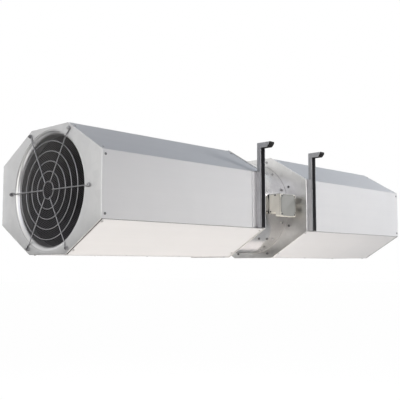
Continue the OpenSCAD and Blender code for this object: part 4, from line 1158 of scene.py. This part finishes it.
softened = [  # CAD shapes that only get worked edges: piece, node, finish, edge, body
    ("terminalBox", "terminal_box", "cream_plastic", 0.7, "casing"),
    ("motorFrame", "motor_frame", "motor_casting", 0.5, "casing"),
    ("driveShield", "drive_shield", "motor_casting", 0.8, "casing"),
    ("rearShield", "rear_shield", "motor_casting", 0.8, "casing"),
    ("motorSupports", "motor_supports", "galvanised_sheet", 0.5, "casing"),
    ("impellerHub", "impeller_hub", "impeller_alloy", 0.5, "rotor"),
]
for settings in softened:
    softenedCopy(*settings)

lidShape = {"x": 6, "z": -42, "width": 86, "tall": 77, "back": 210.0, "seat": 213.9, "front": 215.5,
            "corner": 4.0, "edge": 0.7, "pocket": 12.5, "deep": 1.4, "inset": 1.2, "cut": 14.0,
            "post": 7.0, "chamfer": 0.3, "leastCorner": 0.6, "sink": 0.2, "plateEdge": (0.5, 2),
            "trayHole": (1.9, 24), "plateHole": (4.0, 32), "past": 2}
footShadeShape = {"wide": 0.7, "tall": 3.6, "low": -31, "lift": 0.05, "inside": -0.2, "sharp": 30}


def boxLimits(inset):
    s = lidShape
    return s["x"] + inset, s["x"] + s["width"] - inset, s["z"] + inset, s["z"] + s["tall"] - inset


def roundedRing(inset, y, per=5):
    # the box's outline, with rounded corners, at a distance from the axis
    r = max(lidShape["leastCorner"], lidShape["corner"] - inset)
    x0, x1, z0, z1 = boxLimits(inset + r)
    ring = []
    for x, z, turn in ((x1, z1, 0), (x0, z1, 90), (x0, z0, 180), (x1, z0, 270)):
        for k in range(per + 1):
            a = radians(turn + 90 * k / per)
            ring.append((x + r * cos(a), -y, z + r * sin(a)))
    return ring


def makeLid():
    s = lidShape
    e, c, back, seat = s["edge"], s["chamfer"], s["back"], s["seat"]
    rings = [roundedRing(s["pocket"], seat - s["deep"]), roundedRing(s["pocket"], back)]
    rings += [roundedRing(c, back), roundedRing(0, back + c)]
    rings += [roundedRing(e * (1 - cos(a)), seat - e * (1 - sin(a))) for a in degrees(*quarter)]
    tray = addPiece("lidTray", [loftRings(rings, "capped")], "cream_plastic", stands=["box_lid"])
    x0, x1, z0, z1 = boxLimits(s["inset"])
    cut = s["cut"]
    corners = [(x0 + cut, z0), (x1 - cut, z0), (x1, z0 + cut), (x1, z1 - cut),
               (x1 - cut, z1), (x0 + cut, z1), (x0, z1 - cut), (x0, z0 + cut)]
    rings = [[(x, -y, z) for x, z in corners] for y in (seat - s["sink"], s["front"])]
    cover = [loftRings(rings, "capped")]
    plate = addPiece("lidPlate", cover, "cover_plastic", stands=["box_lid"], bevel=s["plateEdge"])
    x0, x1, z0, z1 = boxLimits(s["post"])
    past = s["past"]
    for piece, (radius, sides) in ((tray, s["trayHole"]), (plate, s["plateHole"])):
        cutPiece(piece, [rod((x, -back + past, z), (x, -s["front"] - past, z), radius, sides)
                         for x in (x0, x1) for z in (z0, z1)])


def makeFootShadeStrip():
    # black strip round the foot of the box, where it stands on the round drum: painted shade of the gap
    # between box and drum
    s = footShadeShape
    loops = []
    out, within, low, top = s["wide"], s["inside"], s["lift"], s["tall"]
    for grow, high in ((out, low), (out, top), (within, top), (within, low)):
        loop = []
        for x, _, z in roundedRing(-grow, 0):
            z = max(z, s["low"] - grow)
            loop.append((x, -sqrt(drumShape["outer"] ** 2 - z * z) - high, z))
        loops.append(loop)
    addPiece("boxFootShadeStrip", [loftRings(loops)], "black_rubber", sharp=s["sharp"])


makeLid()
makeFootShadeStrip()
print("terminal box ready")

plainNodes = {
    "black_liner": ["inlet_liner", "outlet_liner"],
    "galvanised_sheet": ["inlet_drum_ring", "outlet_drum_ring"],
    "zinc_fasteners": ["motor_screws", "hub_bolt"], "winding_copper": ["stator_core"],
    "bearing_steel": ["drive_bearing", "rear_bearing", "motor_shaft", "rotor_core"],
    "impeller_alloy": ["nose_cap"], "black_rubber": ["cable_duct", "box_gasket", "blanking_plugs"],
    "block_plastic": ["terminal_block"],
}
for finish, names in plainNodes.items():
    for node in names:
        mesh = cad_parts[node].data
        mesh.materials.clear()
        mesh.materials.append(materials[finish])
print("carried-over nodes dressed")

studio = {
    "floor": -1.35,
    "floorHalf": 40,
    "floorColour": (0.82, 0.81, 0.80, 1),
    "floorRough": 0.9,
    "floorGlow": (1.14, 0.86),  # strength of the white that the camera sees, and its share
    "background": 1.0,
    "ambient": ((1.0, 1.0, 1.0, 1), 0.0),
    "lamps": [  # name, place, aim, size, watts, colour
        ("keySoftbox", (1.4, -1.8, 0.36), (0.4, 0, 0), 1.3, 29.5, (1.0, 0.99, 1.0)),
        ("endFill", (-3.6, 0.6, 0.2), (-0.8, 0, 0), 1.8, 18.5, (1.0, 0.99, 0.92)),
        ("frontFill", (-2.5, -2.5, 0.3), (-0.1, -0.2, 0), 1.6, 15, (1.0, 0.98, 1.0)),
        ("highLeft", (-3.2, -1.2, 1.6), (-0.1, -0.2, 0), 2.8, 14, (0.80, 0.80, 1.0)),
        ("highRight", (1.6, -0.5, 2.8), (0.4, 0, 0), 2.0, 11, (0.30, 0.62, 1.0)),
        ("farEndFill", (4.2, 0.3, 0.4), (0.78, 0, 0), 1.8, 24, (1.0, 1.0, 1.0)),
        ("rearSoftbox", (0.2, 2.8, 2.6), (0, 0, 0), 2.4, 50, (1.0, 1.0, 1.0)),
        ("rearFill", (-0.4, 3.2, 0.1), (0, 0, 0), 2.0, 34, (1.0, 1.0, 1.0)),
        ("underSoftbox", (-0.2, 0.1, -1.3), (-0.2, 0, 0), 1.2, 9, (1.0, 0.90, 0.80)),
        ("underMiddle", (-0.5, -0.6, -1.3), (-0.4, 0, 0), 2.0, 4, (1.0, 0.85, 0.80)),
        ("underFront", (-0.5, -1.6, -1.3), (-0.4, 0, 0), 1.2, 15.5, (1.0, 0.98, 0.90)),
        ("underEnd", (-1.8, -0.2, -1.3), (-0.6, 0, 0), 1.2, 6.2, (1.0, 0.98, 0.95)),
        ("floorPatch", (1.6, 0.6, -1.3), (1.6, 0.6, 0), 1.2, 3, (1.0, 0.90, 0.87)),
    ],
}


def makeLamps(s):
    for name, place, aim, size, watts, colour in s["lamps"]:
        data = bpy.data.lights.new(name, "AREA")
        data.shape, data.size, data.energy, data.color = "DISK", size, watts, colour
        lamp = bpy.data.objects.new(name, data)
        lamp.location = place
        lamp.rotation_mode = "QUATERNION"
        lamp.rotation_quaternion = (Vector(aim) - Vector(place)).to_track_quat("-Z", "Y")
        lamp.visible_camera = False
        scene.collection.objects.link(lamp)


def mixShaders(tree, factor, first, second, out):
    mix = tree.nodes.new("ShaderNodeMixShader")
    tree.links.new(factor, mix.inputs[0])
    tree.links.new(first.outputs[0], mix.inputs[1])
    tree.links.new(second.outputs[0], mix.inputs[2])
    tree.links.new(mix.outputs[0], out.inputs[0])


def makeWorld(s):
    world = bpy.data.worlds.new("studio")
    scene.world = world
    world.use_nodes = True
    tree = world.node_tree
    tree.nodes.clear()
    colour, strength = s["ambient"]
    ambient = addNode(tree, "ShaderNodeBackground", {"Color": colour, "Strength": strength})
    white = addNode(tree, "ShaderNodeBackground", {"Color": (1, 1, 1, 1), "Strength": s["background"]})
    path = tree.nodes.new("ShaderNodeLightPath")
    mirrored = mathNode(tree, "ADD", path.outputs["Is Glossy Ray"], path.outputs["Is Transmission Ray"])
    seen = mathNode(tree, "ADD", path.outputs["Is Camera Ray"], mirrored, True)
    mixShaders(tree, seen, ambient, white, tree.nodes.new("ShaderNodeOutputWorld"))


def makeFloor(s):
    material = bpy.data.materials.new("paleFloor")
    material.use_nodes = True
    tree = material.node_tree
    shader = tree.nodes["Principled BSDF"]
    shader.inputs["Base Color"].default_value = s["floorColour"]
    shader.inputs["Roughness"].default_value = s["floorRough"]
    strength, share = s["floorGlow"]
    glow = addNode(tree, "ShaderNodeEmission", {"Color": (1, 1, 1, 1), "Strength": strength})
    path = tree.nodes.new("ShaderNodeLightPath")
    seen = mathNode(tree, "MULTIPLY", path.outputs["Is Camera Ray"], share)
    mixShaders(tree, seen, shader, glow, tree.nodes["Material Output"])
    mesh = bpy.data.meshes.new("floor")
    half = s["floorHalf"]
    corners = [(-half, -half), (half, -half), (half, half), (-half, half)]
    mesh.from_pydata([(x, y, s["floor"]) for x, y in corners], [], [(0, 1, 2, 3)])
    mesh.materials.append(material)
    floor = bpy.data.objects.new("floor", mesh)
    scene.collection.objects.link(floor)


makeLamps(studio)
makeWorld(studio)
makeFloor(studio)
print("studio ready")
